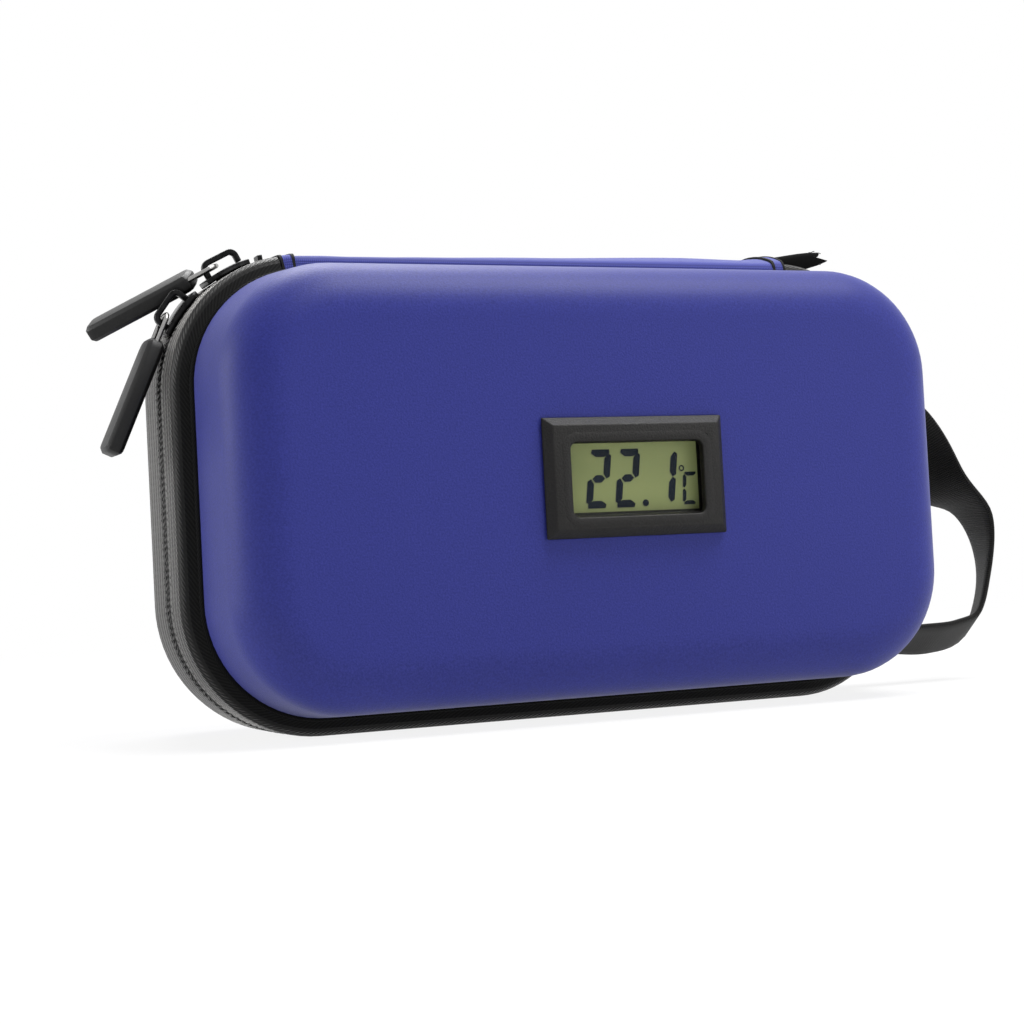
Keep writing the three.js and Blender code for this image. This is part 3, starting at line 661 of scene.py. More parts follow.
# How far round the band a point is, and how far inside its outer line
def bandRead(co):
    centre = Vector((max(-bandFlat, min(bandFlat, co.x)), 0,
                     max(band["corner"], min(band["top"] - band["corner"], co.z))))
    out = Vector((co.x - centre.x, 0, co.z - centre.z))
    drop = band["corner"] - out.length
    angle = math.atan2(out.x, out.z) % (2 * math.pi)
    quarter = min(3, int((angle + tiny) / (math.pi / 2)))
    starts = [bandFlat, bandFlat + bandTurn + bandSide, 3 * bandFlat + 2 * bandTurn + bandSide,
              3 * bandFlat + 3 * bandTurn + 2 * bandSide]
    along = starts[quarter] + (angle - quarter * math.pi / 2) * band["corner"]
    if abs(co.x) <= bandFlat + tiny:
        along = co.x if co.z > band["top"] / 2 else starts[2] - bandFlat - co.x
    elif band["corner"] - tiny <= co.z <= band["top"] - band["corner"] + tiny:
        fall = band["top"] - band["corner"] - co.z
        along = starts[1] - bandSide + fall if co.x > 0 else starts[3] - fall
    return along % bandRound, drop


def runsBetween(start, stop):
    begin = -bandRound
    while begin < stop:
        for kind, length in bandRuns:
            low, high = max(begin, start), min(begin + length, stop)
            if high - low > tiny:
                yield kind, low, high
            begin += length


# A closed profile of (y, drop) points run round the band by extruding and spinning it
def sweepBand(bm, profile, start, stop):
    place = bandSpot(start)
    first = loopOf(bm, [place @ Vector((0, y, -drop)) for y, drop in profile])
    verts, edges = bm.verts[:], first
    for kind, low, high in runsBetween(start, stop):
        before = bandSpot(low)
        if kind == "line":
            steps = max(1, round((high - low) / band["lineStep"]))
            for step in range(steps):
                made = bmesh.ops.extrude_edge_only(bm, edges=edges)["geom"]
                verts = only(bmesh.types.BMVert, made)
                move = (bandSpot(high).translation - before.translation) / steps
                bmesh.ops.translate(bm, verts=verts, vec=move)
                edges = newLoop(made)
        else:
            angle = (high - low) / band["corner"]
            steps = max(2, round(band["turnSteps"] * angle / (math.pi / 2)))
            made = bmesh.ops.spin(bm, geom=verts + edges, cent=before @ Vector((0, 0, -band["corner"])),
                                  axis=(0, 1, 0), angle=angle, steps=steps)["geom_last"]
            verts = only(bmesh.types.BMVert, made)
            edges = newLoop(made)
    if stop - start < bandRound - tiny:
        fillEnds(bm, first, edges)
    else:
        bmesh.ops.remove_doubles(bm, verts=bm.verts, dist=tiny)
    faceOutwards(bm)


# An open line of (depth, drop) points, thickened inwards into a closed profile
def thickened(line, thick):
    inner = []
    for index, point in enumerate(line):
        before = line[max(index - 1, 0)]
        after = line[min(index + 1, len(line) - 1)]
        along = Vector((after[0] - before[0], after[1] - before[1])).normalized()
        inner.append((point[0] - along.y * thick, point[1] + along.x * thick))
    return line + inner[::-1]


def bandUv(bm, side, wrap=True):
    def read(vert):
        along, drop = bandRead(vert.co)
        return along if wrap else vert.co.x, side * vert.co.y + drop
    setUv(bm, read)


def arcPoints(centre, radius, start, stop, steps):
    angles = [math.radians(start + (stop - start) * step / steps) for step in range(steps + 1)]
    return [(centre[0] + radius * math.cos(a), centre[1] + radius * math.sin(a)) for a in angles]


# Stitches: one short bead of thread for each place
def sew(name, places, length, width, finish, body, slot):
    bm = bmesh.new()
    shape = Matrix.Diagonal((length / 2, width / 2, width / 2, 1))
    for place in places:
        bmesh.ops.create_uvsphere(bm, u_segments=6, v_segments=4, radius=1.0, matrix=place @ shape)
    newPiece(bm, name, finish, body, sharp=80)


def bandStitches(start, stop, pitch, y, drop):
    count = int((stop - start) / pitch)
    spots = [bandSpot(start + (index + 0.5) * pitch) for index in range(count)]
    return [spot @ Matrix.Translation((0, y, -drop)) for spot in spots]


# Zip tapes

zipTape = {
    "slit": 0.0003,          # half of the line left between the two tapes
    "thick": 0.0009,
    "foldRadius": 0.0026,
    "lean": 0.0006,
    "flank": 0.0043,
    "endGap": 0.0004,
    # the woven edge rolls down at the seam: distances from it, each with its drop
    "roll": ((0.0, 0.0005), (0.0006, 0.0002), (0.0014, 0.0), (0.004, 0.0)),
    # faces deeper than this take the darker flank twill, painted shade from the shell
    "flankDrop": 0.0021,
    "seamRows": (0.0013, 0.0029),
    "stitchPitch": 0.0017,
    "stitch": (0.0012, 0.00034),    # length and thickness of a bead
    "stitchSink": 0.0001,    # keeps the thread clear of the sliders
}
tapeStart = hingeRight + zipTape["endGap"]
tapeStop = bandRound + hingeLeft - zipTape["endGap"]


def tapeLine(side):
    edge = tapeHigh.y - zipTape["lean"]
    seam = side * band["seam"] + zipTape["slit"]
    radius = zipTape["foldRadius"]
    fold = arcPoints((edge - radius, radius), radius, -90, 0, 6)
    flat = [(seam + away, drop) for away, drop in zipTape["roll"]]
    return flat + fold + [(edge + zipTape["lean"], zipTape["flank"])]


def makeTape(name, side, body):
    bm = bmesh.new()
    profile = [(side * depth, drop) for depth, drop in thickened(tapeLine(side), zipTape["thick"])]
    sweepBand(bm, profile, tapeStart, tapeStop)
    bandUv(bm, side)
    # Faces past the fold take the darker flank twill: painted shade where the shell shades the tape
    for face in bm.faces:
        if bandRead(face.calc_center_median())[1] > zipTape["flankDrop"]:
            face.material_index = 1
    tape = newPiece(bm, f"{name}_tape_cloth", "tape", body, [f"{name}_zip_tape"])
    tape.data.materials.append(finishes["flank"])
    line = tapeLine(side)
    width = sum(math.dist(a, b) for a, b in zip(line, line[1:]))
    for row, depth in enumerate(zipTape["seamRows"]):
        y = band["seam"] + side * depth
        places = bandStitches(tapeStart, tapeStop, zipTape["stitchPitch"], y, zipTape["stitchSink"])
        sew(f"{name}_coil_stitches_{row}", places, *zipTape["stitch"], "dark thread", body, "tape")


# Zip coil: a nylon helix behind each tape, the two crossing at the seam

zipCoil = {
    "pitch": 0.0018,
    "wire": 0.00043,         # radius
    "across": 0.0017,
    "deep": 0.00085,
    "centreDrop": 0.0026,
    "cross": 0.0005,         # how far the turns reach past the seam
    "points": 10,
}


def makeCoil(name, side, body):
    data = bpy.data.curves.new(f"{name}_coil", "CURVE")
    data.dimensions = "3D"
    data.bevel_depth = zipCoil["wire"]
    data.bevel_resolution = 1
    turns = int((tapeStop - tapeStart) / zipCoil["pitch"])
    spline = data.splines.new("POLY")
    total = turns * zipCoil["points"]
    spline.points.add(total - 1)
    middle = side * band["seam"] + zipCoil["across"] - zipCoil["cross"]
    early = 0.5 if side > 0 else 0.0        # the rear coil starts half a turn on
    for index in range(total):
        turn = index / zipCoil["points"] + early
        angle = turn * 2 * math.pi
        along = tapeStart + turn * zipCoil["pitch"]
        depth = middle + zipCoil["across"] * math.cos(angle)
        drop = zipCoil["centreDrop"] + zipCoil["deep"] * math.sin(angle)
        spot = bandSpot(min(along, tapeStop)) @ Vector((0, side * depth, -drop))
        spline.points[index].co = (*spot, 1)
    curve = bpy.data.objects.new(f"{name}_coil_curve", data)
    scene.collection.objects.link(curve)
    mesh = bpy.data.meshes.new_from_object(curve.evaluated_get(bpy.context.evaluated_depsgraph_get()))
    bpy.data.objects.remove(curve)
    bm = bmesh.new()
    bm.from_mesh(mesh)
    bpy.data.meshes.remove(mesh)
    newPiece(bm, f"{name}_coil_wire", "coil", body, [f"{name}_zip_coil"], sharp=80)


# Piping between each tape and its shell

piping = {"radius": 0.00115, "drop": 0.0049, "sides": 12}


def makePiping(name, side, body):
    lowest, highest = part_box(f"{name}_welt")
    middle = (lowest.y + highest.y) / 2
    bm = bmesh.new()
    ring = arcPoints((middle, piping["drop"]), piping["radius"], 0, 360, piping["sides"])[:-1]
    sweepBand(bm, ring, 0, bandRound)
    bandUv(bm, side)
    newPiece(bm, f"{name}_piping", "binding", body, [f"{name}_welt"], sharp=80)


for halfName, halfSide, halfBody in halves:
    makeTape(halfName, halfSide, halfBody)
    makeCoil(halfName, halfSide, halfBody)
    makePiping(halfName, halfSide, halfBody)
print("zip tapes, coils and piping ready")


# Moulded shells and liners

shell = {"corner": 0.0284, "draft": 0.0018, "topDraft": 0.0004, "round": 0.012, "thick": 0.0039,
         "cornerSteps": 18, "roundSteps": 10, "border": 0.0015}
liner = {"corner": 0.0225, "draft": 0.0016, "topDraft": 0.0006, "round": 0.0085, "thick": 0.0015,
         "cornerSteps": 14, "roundSteps": 4, "border": 0.0015}


def mouldedTray(node, side, form):
    lowest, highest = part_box(node)
    rim, face = (lowest.y, highest.y) if side > 0 else (highest.y, lowest.y)
    middle = Vector(((lowest.x + highest.x) / 2, rim, (lowest.z + highest.z) / 2))
    facing = Matrix.Rotation(math.radians(-90 * side), 4, "X")
    bm = bmesh.new()
    flatPlate(bm, highest.x - lowest.x, highest.z - lowest.z, Matrix.Translation(middle) @ facing)
    roundCorners(bm, bm.verts[:], form["corner"], form["cornerSteps"])
    cap = bm.faces[:]
    bmesh.ops.inset_region(bm, faces=cap, thickness=form["draft"], depth=abs(face - rim),
                           use_boundary=True, use_even_offset=True)
    roundEdges(bm, cap[0].edges[:], form["round"], form["roundSteps"])
    cap = [max(bm.faces, key=lambda f: f.calc_area())]
    bmesh.ops.inset_region(bm, faces=cap, thickness=form["border"], depth=0, use_even_offset=True)
    for vert in bm.verts:
        above = max(0.0, vert.co.z - middle.z) / (highest.z - middle.z)
        vert.co.z -= form["topDraft"] * above * abs(vert.co.y - rim) / abs(face - rim)
    return bm


flatEnough = 0.999      # share of a face's normal that points to the front or the back


def flatFaces(bm):
    return [f for f in bm.faces if abs(f.normal.y) > flatEnough]


# Opening for the thermometer, cut out of the flat face only
def cutOpening(bm, node):
    lowest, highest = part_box(node)
    cuts = [(Vector((1, 0, 0)), x) for x in (lowest.x, highest.x)]
    cuts += [(Vector((0, 0, 1)), z) for z in (lowest.z, highest.z)]
    for normal, place in cuts:
        flat = flatFaces(bm)
        geom = flat + list({e for f in flat for e in f.edges}) + list({v for f in flat for v in f.verts})
        bmesh.ops.bisect_plane(bm, geom=geom, plane_co=normal * place, plane_no=normal)
    inside = [f for f in flatFaces(bm)
              if lowest.x < f.calc_center_median().x < highest.x
              and lowest.z < f.calc_center_median().z < highest.z]
    bmesh.ops.delete(bm, geom=inside, context="FACES")


def makeTray(node, name, side, form, finish, body):
    bm = mouldedTray(node, side, form)
    if side < 0:
        bm.normal_update()
        cutOpening(bm, "module_rear_cover")
    bm.edges.index_update()
    rims = [edge.index for edge in bm.edges if edge.is_boundary]
    tray = newPiece(bm, name, finish, body, [node])
    for index in rims:
        tray.data.edges[index].use_edge_sharp = True
    wall = tray.modifiers.new("wall", "SOLIDIFY")
    wall.thickness = form["thick"]
    wall.offset = -1
    wall.use_even_offset = True


for halfName, halfSide, halfBody in halves:
    makeTray(f"{halfName}_shell", f"{halfName}_shell_cover", halfSide, shell, "shell", halfBody)
    makeTray(f"{halfName}_liner", f"{halfName}_foil_liner", halfSide, liner, "foil", halfBody)
print("shells and liners ready")


# Cloth hinge

hinge = {
    "sink": 0.0005,
    "thick": 0.0009,
    "foldRadius": 0.0018,
    "lean": 0.0006,
    "flank": 0.0046,
    "hemWidth": 0.0032,
    "hemRise": 0.0004,
    "seamWidth": 0.0008,
    "seamRise": 0.0002,
    "edgeSeam": (-0.2, 0.6),        # reach beyond the cloth's end and inside it, in seam widths
    "rows": 7,                      # from the middle to the fold
    "bend": (-0.0115, -0.0142),     # two depths, read into points on the band's top, where the real cloth starts and stops to bend as the lid opens
    # how far the cloth stands up between its two sewn flanks, from its left end to its right
    "stands": ((-0.072, 0.0006), (-0.066, 0.0011), (-0.061, 0.0015), (-0.056, 0.001), (-0.045, 0.0012),
               (-0.034, 0.0017), (-0.005, 0.0023), (0.041, 0.0032), (0.0595, 0.0028), (0.0665, 0.0034),
               (0.068, 0.0036)),
}


def hingeLine(sink):
    edge = hingeHigh.y - hinge["lean"]
    radius, rows = hinge["foldRadius"], hinge["rows"]
    rear = arcPoints((edge - radius, sink + radius), radius, -90, 0, 6)
    rear.append((edge + hinge["lean"], hinge["flank"]))
    front = [(-depth, drop) for depth, drop in rear[::-1]]
    middle = [(edge * row / rows, sink) for row in range(2 - rows, rows - 1)]
    return front + middle + rear


def hingeStand(x):
    for (low, start), (high, stop) in zip(hinge["stands"], hinge["stands"][1:]):
        if x <= high:
            return start + (stop - start) * smoothShare((x - low) / (high - low))
    return hinge["stands"][-1][1]


def hingeStrip(name, finish, rise, start, stop):
    bm = bmesh.new()
    sweepBand(bm, thickened(hingeLine(hinge["sink"] - rise), hinge["thick"]), start, stop)
    edge = hingeHigh.y - hinge["lean"]
    for vert in bm.verts:
        vert.co.z += hingeStand(vert.co.x) * max(0.0, 1 - (vert.co.y / edge) ** 2)
    bandUv(bm, 1, wrap=False)
    piece = newPiece(bm, name, finish, None, ride=False)
    bendStart, bendEnd = [(0, y, band["top"]) for y in hinge["bend"]]
    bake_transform(piece)
    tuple(bendStart)
    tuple(bendEnd)
    return piece


def makeHinge():
    hem, seam = hinge["hemWidth"], hinge["seamWidth"]
    hemRise, seamRise = hinge["hemRise"], hinge["hemRise"] + hinge["seamRise"]
    edgeNear, edgeFar = [seam * share for share in hinge["edgeSeam"]]
    cloth = hingeStrip("hinge_cloth", "cloth", 0.0, hingeLeft + hem, hingeRight - hem)
    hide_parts("hinge_strip")
    for name, end, side in (("left", hingeLeft, 1), ("right", hingeRight, -1)):
        for part, finish, rise, near, far in [
            ("hem", "cloth", hemRise, 0.0, hem),
            ("seam", "dark thread", seamRise, hem - seam / 2, hem + seam / 2),
            ("edge", "dark thread", seamRise, edgeNear, edgeFar),
        ]:
            hingeStrip(f"hinge_{part}_{name}", finish, rise, *sorted((end + side * near, end + side * far)))


makeHinge()
print("hinge ready")


# Zip sliders: a plate that follows the corner, a blade through the slit, an inner plate behind the
# rear coil and a bail for the pull. Each is drawn with X along the band and Z outwards.

slider = {
    "angles": {"upper": 26.946, "lower": 54.031},   # round the left-hand corner, from its top
    "nose": {"upper": -1, "lower": 1},              # the wide ends face each other
    "length": 0.012,
    "width": 0.0092,
    "widths": (0.5, 0.66, 0.7, 0.74, 0.84, 0.95, 1.0, 0.97, 0.78),  # from the tail to the nose
    "low": 0.0003,
    "high": 0.0017,
    "innerLow": -0.0054,
    "innerHigh": -0.004,
    "blade": 0.001,
    "bevel": 0.00042,
    "bailHalf": 0.0043,
    "bailTop": 0.0055,
    "bailWidth": 0.0016,
    "bailWall": 0.0014,
    "bailRound": 0.0015,
    "bailBevel": 0.0003,
    "bailShort": {"upper": 0.0013, "lower": 0.0},   # how far the bail stops above its plate at one end
}


def sliderPlace(name):
    return bandRound - bandFlat - band["corner"] * math.radians(slider["angles"][name])


# One plate; its front edge can be drawn back to a share of its half width
def sliderPlate(bm, low, high, nose, front=-1.0):
    length, widths = slider["length"], slider["widths"]
    columns = len(widths) - 1
    place = Matrix.Translation((0, 0, low)) @ Matrix.Diagonal((length, 1, 1, 1))
    verts = bmesh.ops.create_grid(bm, x_segments=columns, y_segments=2, size=0.5, matrix=place)["verts"]
    for vert in verts:
        column = round((nose * vert.co.x / length + 0.5) * columns)
        share = vert.co.y * 2
        vert.co.y = max(share, front) * slider["width"] / 2 * widths[column]
    raiseFaces(bm, list({f for v in verts for f in v.link_faces}), high - low)


def bailArch(bm, cutShort):
    half, wall = slider["bailHalf"], slider["bailWall"] / 2
    y, turn = slider["bailWidth"] / 2, slider["bailRound"]
    low, high = slider["low"], slider["bailTop"] - wall
    foot = [(-half - wall, -y), (-half + wall, -y), (-half + wall, y), (-half - wall, y)]
    first = loopOf(bm, [(*corner, low) for corner in foot])
    last = sweepLoop(bm, first, [
        [(0, 0, high - turn - low)],
        [(-half + turn, 0, high - turn), (0, 1, 0), 90, 6],
        [(2 * (half - turn), 0, 0)],
        [(half - turn, 0, high - turn), (0, 1, 0), 90, 6],
        [(0, 0, -(high - turn - low - cutShort))],
    ])
    fillEnds(bm, first, last)


def makeSlider(name):
    place = sliderPlace(name)
    nose = slider["nose"][name]
    bent = bmesh.new()
    sliderPlate(bent, slider["low"], slider["high"], nose)
    sliderPlate(bent, slider["innerLow"], slider["innerHigh"], nose, front=-slider["blade"] / slider["width"])
    height = slider["high"] - slider["innerLow"]
    blade = Matrix.Diagonal((slider["length"] / 2, slider["blade"], height, 1))
    middle = Matrix.Translation((0, 0, (slider["high"] + slider["innerLow"]) / 2))
    bmesh.ops.create_cube(bent, size=1, matrix=middle @ blade)
    faceOutwards(bent)
    roundEdges(bent, sharpEdges(bent), slider["bevel"], 3, clamp=True)
    for vert in bent.verts:
        vert.co = bandSpot(place + vert.co.x) @ Vector((0, band["seam"] + vert.co.y, vert.co.z))
    newPiece(bent, f"{name}_slider_plates", "gunmetal", f"{name}_slider", [f"{name}_slider"])
    bail = bmesh.new()
    bailArch(bail, slider["bailShort"][name])
    faceOutwards(bail)
    roundEdges(bail, sharpEdges(bail), slider["bailBevel"], 2)
    putAt(bail, bandSpot(place) @ Matrix.Translation((0, band["seam"], 0)))
    newPiece(bail, f"{name}_slider_bail", "gunmetal", f"{name}_slider")


# Pulls: a wire link through the bail, and a moulded grip over its far end. Each is drawn from its
# pivot towards -X.

pull = {
    "twist": {"upper": 10, "lower": 0},     # the upper grip hangs a little askew in its link
    "along": -0.002,
    "rise": 0.00325,
    "yaw": {"upper": 33.0, "lower": 0.0},
    "droop": {"upper": 0.0, "lower": 11.7},
    "wire": 0.0006,
    "linkLength": 0.0088,
    "reach": {"upper": 0.0005, "lower": 0.0},   # how far the link goes past its pivot
    "linkHalf": 0.00305,
    "nearRound": 0.0022,
    "farRound": 0.0012,
    "gripStart": {"upper": 0.0055, "lower": 0.0067},
    "gripLength": 0.0295,
    "gripWidth": 0.0095,
    "gripThick": 0.0042,
    "neckCut": 0.0026,
    "tipCut": 0.0019,
    "chamfer": 0.0009,
    "edge": 0.00014,
}


def pullPlace(name):
    turn = Matrix.Rotation(math.radians(-pull["yaw"][name]), 4, "Z")
    hang = Matrix.Rotation(math.radians(-pull["droop"][name]), 4, "Y")
    pivot = Matrix.Translation((pull["along"], band["seam"], pull["rise"]))
    return bandSpot(sliderPlace(name)) @ pivot @ turn @ hang


def makeLink(name):
    bm = bmesh.new()
    half, near, far, length = pull["linkHalf"], pull["nearRound"], pull["farRound"], pull["linkLength"]
    ring = bmesh.ops.create_circle(bm, segments=10, radius=pull["wire"], matrix=upright)["verts"]
    edges = list({e for v in ring for e in v.link_edges})
    sweepLoop(bm, edges, [
        [(0, half - near, 0)],
        [(-near, half - near, 0), (0, 0, 1), 90, 6],
        [(-(length - near - far), 0, 0)],
        [(-length + far, half - far, 0), (0, 0, 1), 90, 5],
        [(0, -2 * (half - far), 0)],
        [(-length + far, -half + far, 0), (0, 0, 1), 90, 5],
        [(length - near - far, 0, 0)],
        [(-near, -half + near, 0), (0, 0, 1), 90, 6],
        [(0, half - near, 0)],
    ])
    bmesh.ops.remove_doubles(bm, verts=bm.verts, dist=tiny)
    faceOutwards(bm)
    putAt(bm, pullPlace(name) @ Matrix.Translation((pull["reach"][name], 0, 0)))
    newPiece(bm, f"{name}_link_wire", "black nickel", f"{name}_pull", [f"{name}_pull_link"],
             sharp=80)


def makeGrip(name):
    bm = bmesh.new()
    length, thick = pull["gripLength"], pull["gripThick"]
    middle = Matrix.Translation((-pull["gripStart"][name] - length / 2, 0, -thick / 2))
    flatPlate(bm, length, pull["gripWidth"], middle)
    neck = [v for v in bm.verts if v.co.x > middle.translation.x]
    tip = [v for v in bm.verts if v.co.x < middle.translation.x]
    roundCorners(bm, neck, pull["neckCut"], 2)
    roundCorners(bm, tip, pull["tipCut"], 2)
    raiseFaces(bm, bm.faces[:], thick)
    faceOutwards(bm)
    roundEdges(bm, sharpEdges(bm, 80), pull["chamfer"], 1)
    roundEdges(bm, sharpEdges(bm, 25), pull["edge"], 2)
    putAt(bm, pullPlace(name) @ Matrix.Rotation(math.radians(pull["twist"][name]), 4, "X"))
    newPiece(bm, f"{name}_grip_bar", "grip", f"{name}_pull", [f"{name}_pull_grip"], sharp=50)


for sliderName in ("upper", "lower"):
    makeSlider(sliderName)
    makeLink(sliderName)
    makeGrip(sliderName)
print("sliders and pulls ready")


# Hand strap: flat webbing that leaves the band broadside and turns as it comes round

strap = {
    "body": "strap",
    "width": 0.02,
    "thick": 0.0016,
    "reach": 0.0395,
    "top": 0.077,
    "low": 0.0095,
    "y": 0.0048,
    "route": ((-0.2, -0.02), (0.3, 0.06), (0.66, 0.31), (0.97, 0.45), (1.04, 0.67), (0.91, 0.9),
              (0.63, 0.96), (0.21, 0.96), (-0.32, 0.99)),
    "turn": -120.0,
    "turnBack": -14.0,
    "turned": 0.58,
    "turningBack": 0.62,
    "curveSteps": 24,
    "steps": 72,
    "flex": 0.012,           # length at each sewn end of the real strap that bends as it swings
    "tuck": 0.0007,          # what lies deeper than this in the band is cut off
}


def strapRoute():
    drop = strap["top"] - strap["low"]
    points = [Vector((band["halfLength"] + out * strap["reach"], strap["y"], strap["top"] - down * drop))
              for out, down in strap["route"]]
    guided = [2 * points[0] - points[1]] + points + [2 * points[-1] - points[-2]]
    dense = [points[0]]
    for before, start, stop, after in zip(guided, guided[1:], guided[2:], guided[3:]):
        handles = (start + (stop - before) / 6, stop - (after - start) / 6)
        dense += geometry.interpolate_bezier(start, *handles, stop, strap["curveSteps"])[1:]
    return dense


def evenlySpaced(line, steps):
    reached = [0.0]
    for one, other in zip(line, line[1:]):
        reached.append(reached[-1] + (other - one).length)
    spots = []
    index = 0
    for step in range(steps + 1):
        want = reached[-1] * step / steps
        while index < len(line) - 2 and reached[index + 1] < want:
            index += 1
        share = (want - reached[index]) / (reached[index + 1] - reached[index])
        spots.append(line[index].lerp(line[index + 1], share))
    return spots, reached[-1]


def insideBand(co):
    return bandRead(co)[1] > strap["tuck"]


def makeStrap():
    spots, length = evenlySpaced(strapRoute(), strap["steps"])
    across = Vector((0, 1, 0))
    places = []
    for step, spot in enumerate(spots):
        share = step / strap["steps"]
        along = (spots[min(step + 1, len(spots) - 1)] - spots[max(step - 1, 0)]).normalized()
        back = smoothShare((share - strap["turningBack"]) / (1 - strap["turningBack"]))
        angle = math.radians(strap["turn"] * smoothShare(share / strap["turned"]) - strap["turnBack"] * back)
        wide = along.cross(across) * math.cos(angle) + across * math.sin(angle)
        thin = along.cross(wide)
        places.append(Matrix.Translation(spot) @ Matrix((wide, thin, along)).transposed().to_4x4())
    half, edge = strap["width"] / 2, strap["thick"] / 2
    side = arcPoints((half - edge, 0), edge, -90, 90, 4)
    flat = [(half * share, edge) for share in (0.6, 0.2, -0.2, -0.6)]
    profile = side + flat + [(-x, -y) for x, y in side] + [(-x, -y) for x, y in flat]
    bm = bmesh.new()
    acrossMark = bm.verts.layers.float.new("across")
    alongMark = bm.verts.layers.float.new("along")
    edges = loopOf(bm, [places[0] @ Vector((x, y, 0)) for x, y in profile])
    for vert, (x, y) in zip(bm.verts, profile):
        vert[acrossMark] = x if y >= 0 else strap["width"] - x
    for step in range(1, len(places)):
        made = bmesh.ops.extrude_edge_only(bm, edges=edges)["geom"]
        verts = only(bmesh.types.BMVert, made)
        bmesh.ops.transform(bm, matrix=places[step] @ places[step - 1].inverted(), verts=verts)
        for vert in verts:
            vert[alongMark] = length * step / strap["steps"]
        edges = newLoop(made)
    faceOutwards(bm)
    setUv(bm, lambda vert: (vert[alongMark], vert[acrossMark]))
    hidden = [f for f in bm.faces if all(insideBand(v.co) for v in f.verts)]
    bmesh.ops.delete(bm, geom=hidden, context="FACES")
    bmesh.ops.holes_fill(bm, edges=[e for e in bm.edges if e.is_boundary], sides=0)
    faceOutwards(bm)
    webbing = newPiece(bm, "strap_webbing", "webbing", None, ["hand_strap"], ride=False)
    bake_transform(webbing)


makeStrap()
print("strap ready")


# Loose end of zip tape: a frayed flap that stands up beside the hinge

tail = {
    "start": 0.0672,            # just inside the mouth of the hinge cloth
    "front": -0.0012,
    "ridge": 0.0012,
    "rear": 0.0088,
    "frontZ": (0.1171, 0.1161),     # heights at the root and at the end
    "ridgeZ": (0.119, 0.1212),
    "rearZ": (0.1168, 0.1214),
    # where each strip across the flap ends, from its front edge over the ridge to its rear edge
    "ends": (0.0826, 0.0872, 0.0902, 0.0864, 0.0881, 0.0883, 0.0879, 0.0873, 0.0866, 0.0873, 0.0864,
             0.087, 0.0863, 0.087, 0.0862),
    "ridgeRow": 6,
    "columns": 14,
    "thick": 0.0008,
    "threads": 6,
    "threadWidth": 0.00022,
    "threadLength": (0.0006, 0.0013),
    "threadRoot": 0.97,         # how far along the flap each thread starts
    "threadTilt": 30,
    "threadFar": 0.6,           # length of its far half, as a share of the near one
    "threadSag": (0, 0, -0.0002),
    "luck": 7,
}


def tailSpot(share, row, end):
    rows = len(tail["ends"]) - 1
    front, ridge, rear = [low + (high - low) * smoothShare(share) for low, high in
                          (tail["frontZ"], tail["ridgeZ"], tail["rearZ"])]
    if row < tail["ridgeRow"]:
        turn = math.radians(90) * row / tail["ridgeRow"]
        y = tail["front"] + (tail["ridge"] - tail["front"]) * (1 - math.cos(turn))
        z = front + (ridge - front) * math.sin(turn)
    else:
        back = (row - tail["ridgeRow"]) / (rows - tail["ridgeRow"])
        y = tail["ridge"] + (tail["rear"] - tail["ridge"]) * back
        z = ridge + (rear - ridge) * back
    return Vector((tail["start"] + (end - tail["start"]) * share, y, z))


def makeTail():
    luck = random.Random(tail["luck"])
    rows = len(tail["ends"]) - 1
    bm = bmesh.new()
    bmesh.ops.create_grid(bm, x_segments=tail["columns"], y_segments=rows, size=0.5)
    for vert in bm.verts:
        row = round((vert.co.y + 0.5) * rows)
        vert.co = tailSpot(vert.co.x + 0.5, row, tail["ends"][row])
    area = sum(f.calc_area() for f in bm.faces)
    faceOutwards(bm)
    bmesh.ops.solidify(bm, geom=bm.faces[:], thickness=tail["thick"])
    faceOutwards(bm)
    flap = newPiece(bm, "tape_tail_flap", "tail cloth", "rear_half", ["zip_tape_tail"])
    threads = bmesh.new()
    for index in range(tail["threads"]):
        row = 1 + index * 2
        place = Matrix.Translation(tailSpot(tail["threadRoot"], row, tail["ends"][row]))
        ring = arcPoints((0, 0), tail["threadWidth"] / 2, 0, 360, 5)[:-1]
        cut = loopOf(threads, [place @ Vector((0, y, z)) for y, z in ring])
        tilt = math.radians(luck.uniform(-tail["threadTilt"], tail["threadTilt"]))
        aim = Matrix.Rotation(tilt, 3, "Y") @ Vector((luck.uniform(*tail["threadLength"]), 0, 0))
        end = sweepLoop(threads, cut, [[aim], [aim * tail["threadFar"] + Vector(tail["threadSag"])]])
        fillEnds(threads, cut, end)
    faceOutwards(threads)
    newPiece(threads, "tape_tail_threads", "dark thread", "rear_half", sharp=80)


makeTail()
print("tape end ready")


# Rigid pieces that keep their solids' shapes, with their edges softened

softEdges = {
    "display_housing": ("housing", "housing", 0.0004),
    "module_rear_cover": ("housing", "housing", 0.00025),
    "battery_door": ("housing", "housing", 0.00025),
    "unit_button": ("housing", "housing", 0.00025),
    "clip_left": ("steel", "steel", 0.0002),
    "clip_right": ("steel", "steel", 0.0002),
    "zip_stop_left": ("gunmetal", "steel", 0.0004),
    "zip_stop_right": ("steel", "steel", 0.0005),
    "pen_board": ("board cloth", "cloth", 0.0006),
    "coin_cell_left": ("steel", "steel", 0.0002),
    "coin_cell_right": ("steel", "steel", 0.0002),
}

softAngle = 35      # edges sharper than this are softened


def softened(node, finish, slot, width):
    source = frame["nodes"][node]
    bm = bmesh.new()
    bm.from_mesh(source.data)
    bmesh.ops.remove_doubles(bm, verts=bm.verts, dist=tiny)
    bmesh.ops.dissolve_limit(bm, angle_limit=math.radians(1), verts=bm.verts, edges=bm.edges)
    copy = newPiece(bm, f"{node}_soft", finish, source["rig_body"], [node], sharp=softAngle)
    edge = copy.modifiers.new("edges", "BEVEL")
    edge.width = width
    edge.segments = 2
    edge.limit_method = "ANGLE"
    edge.angle_limit = math.radians(softAngle)


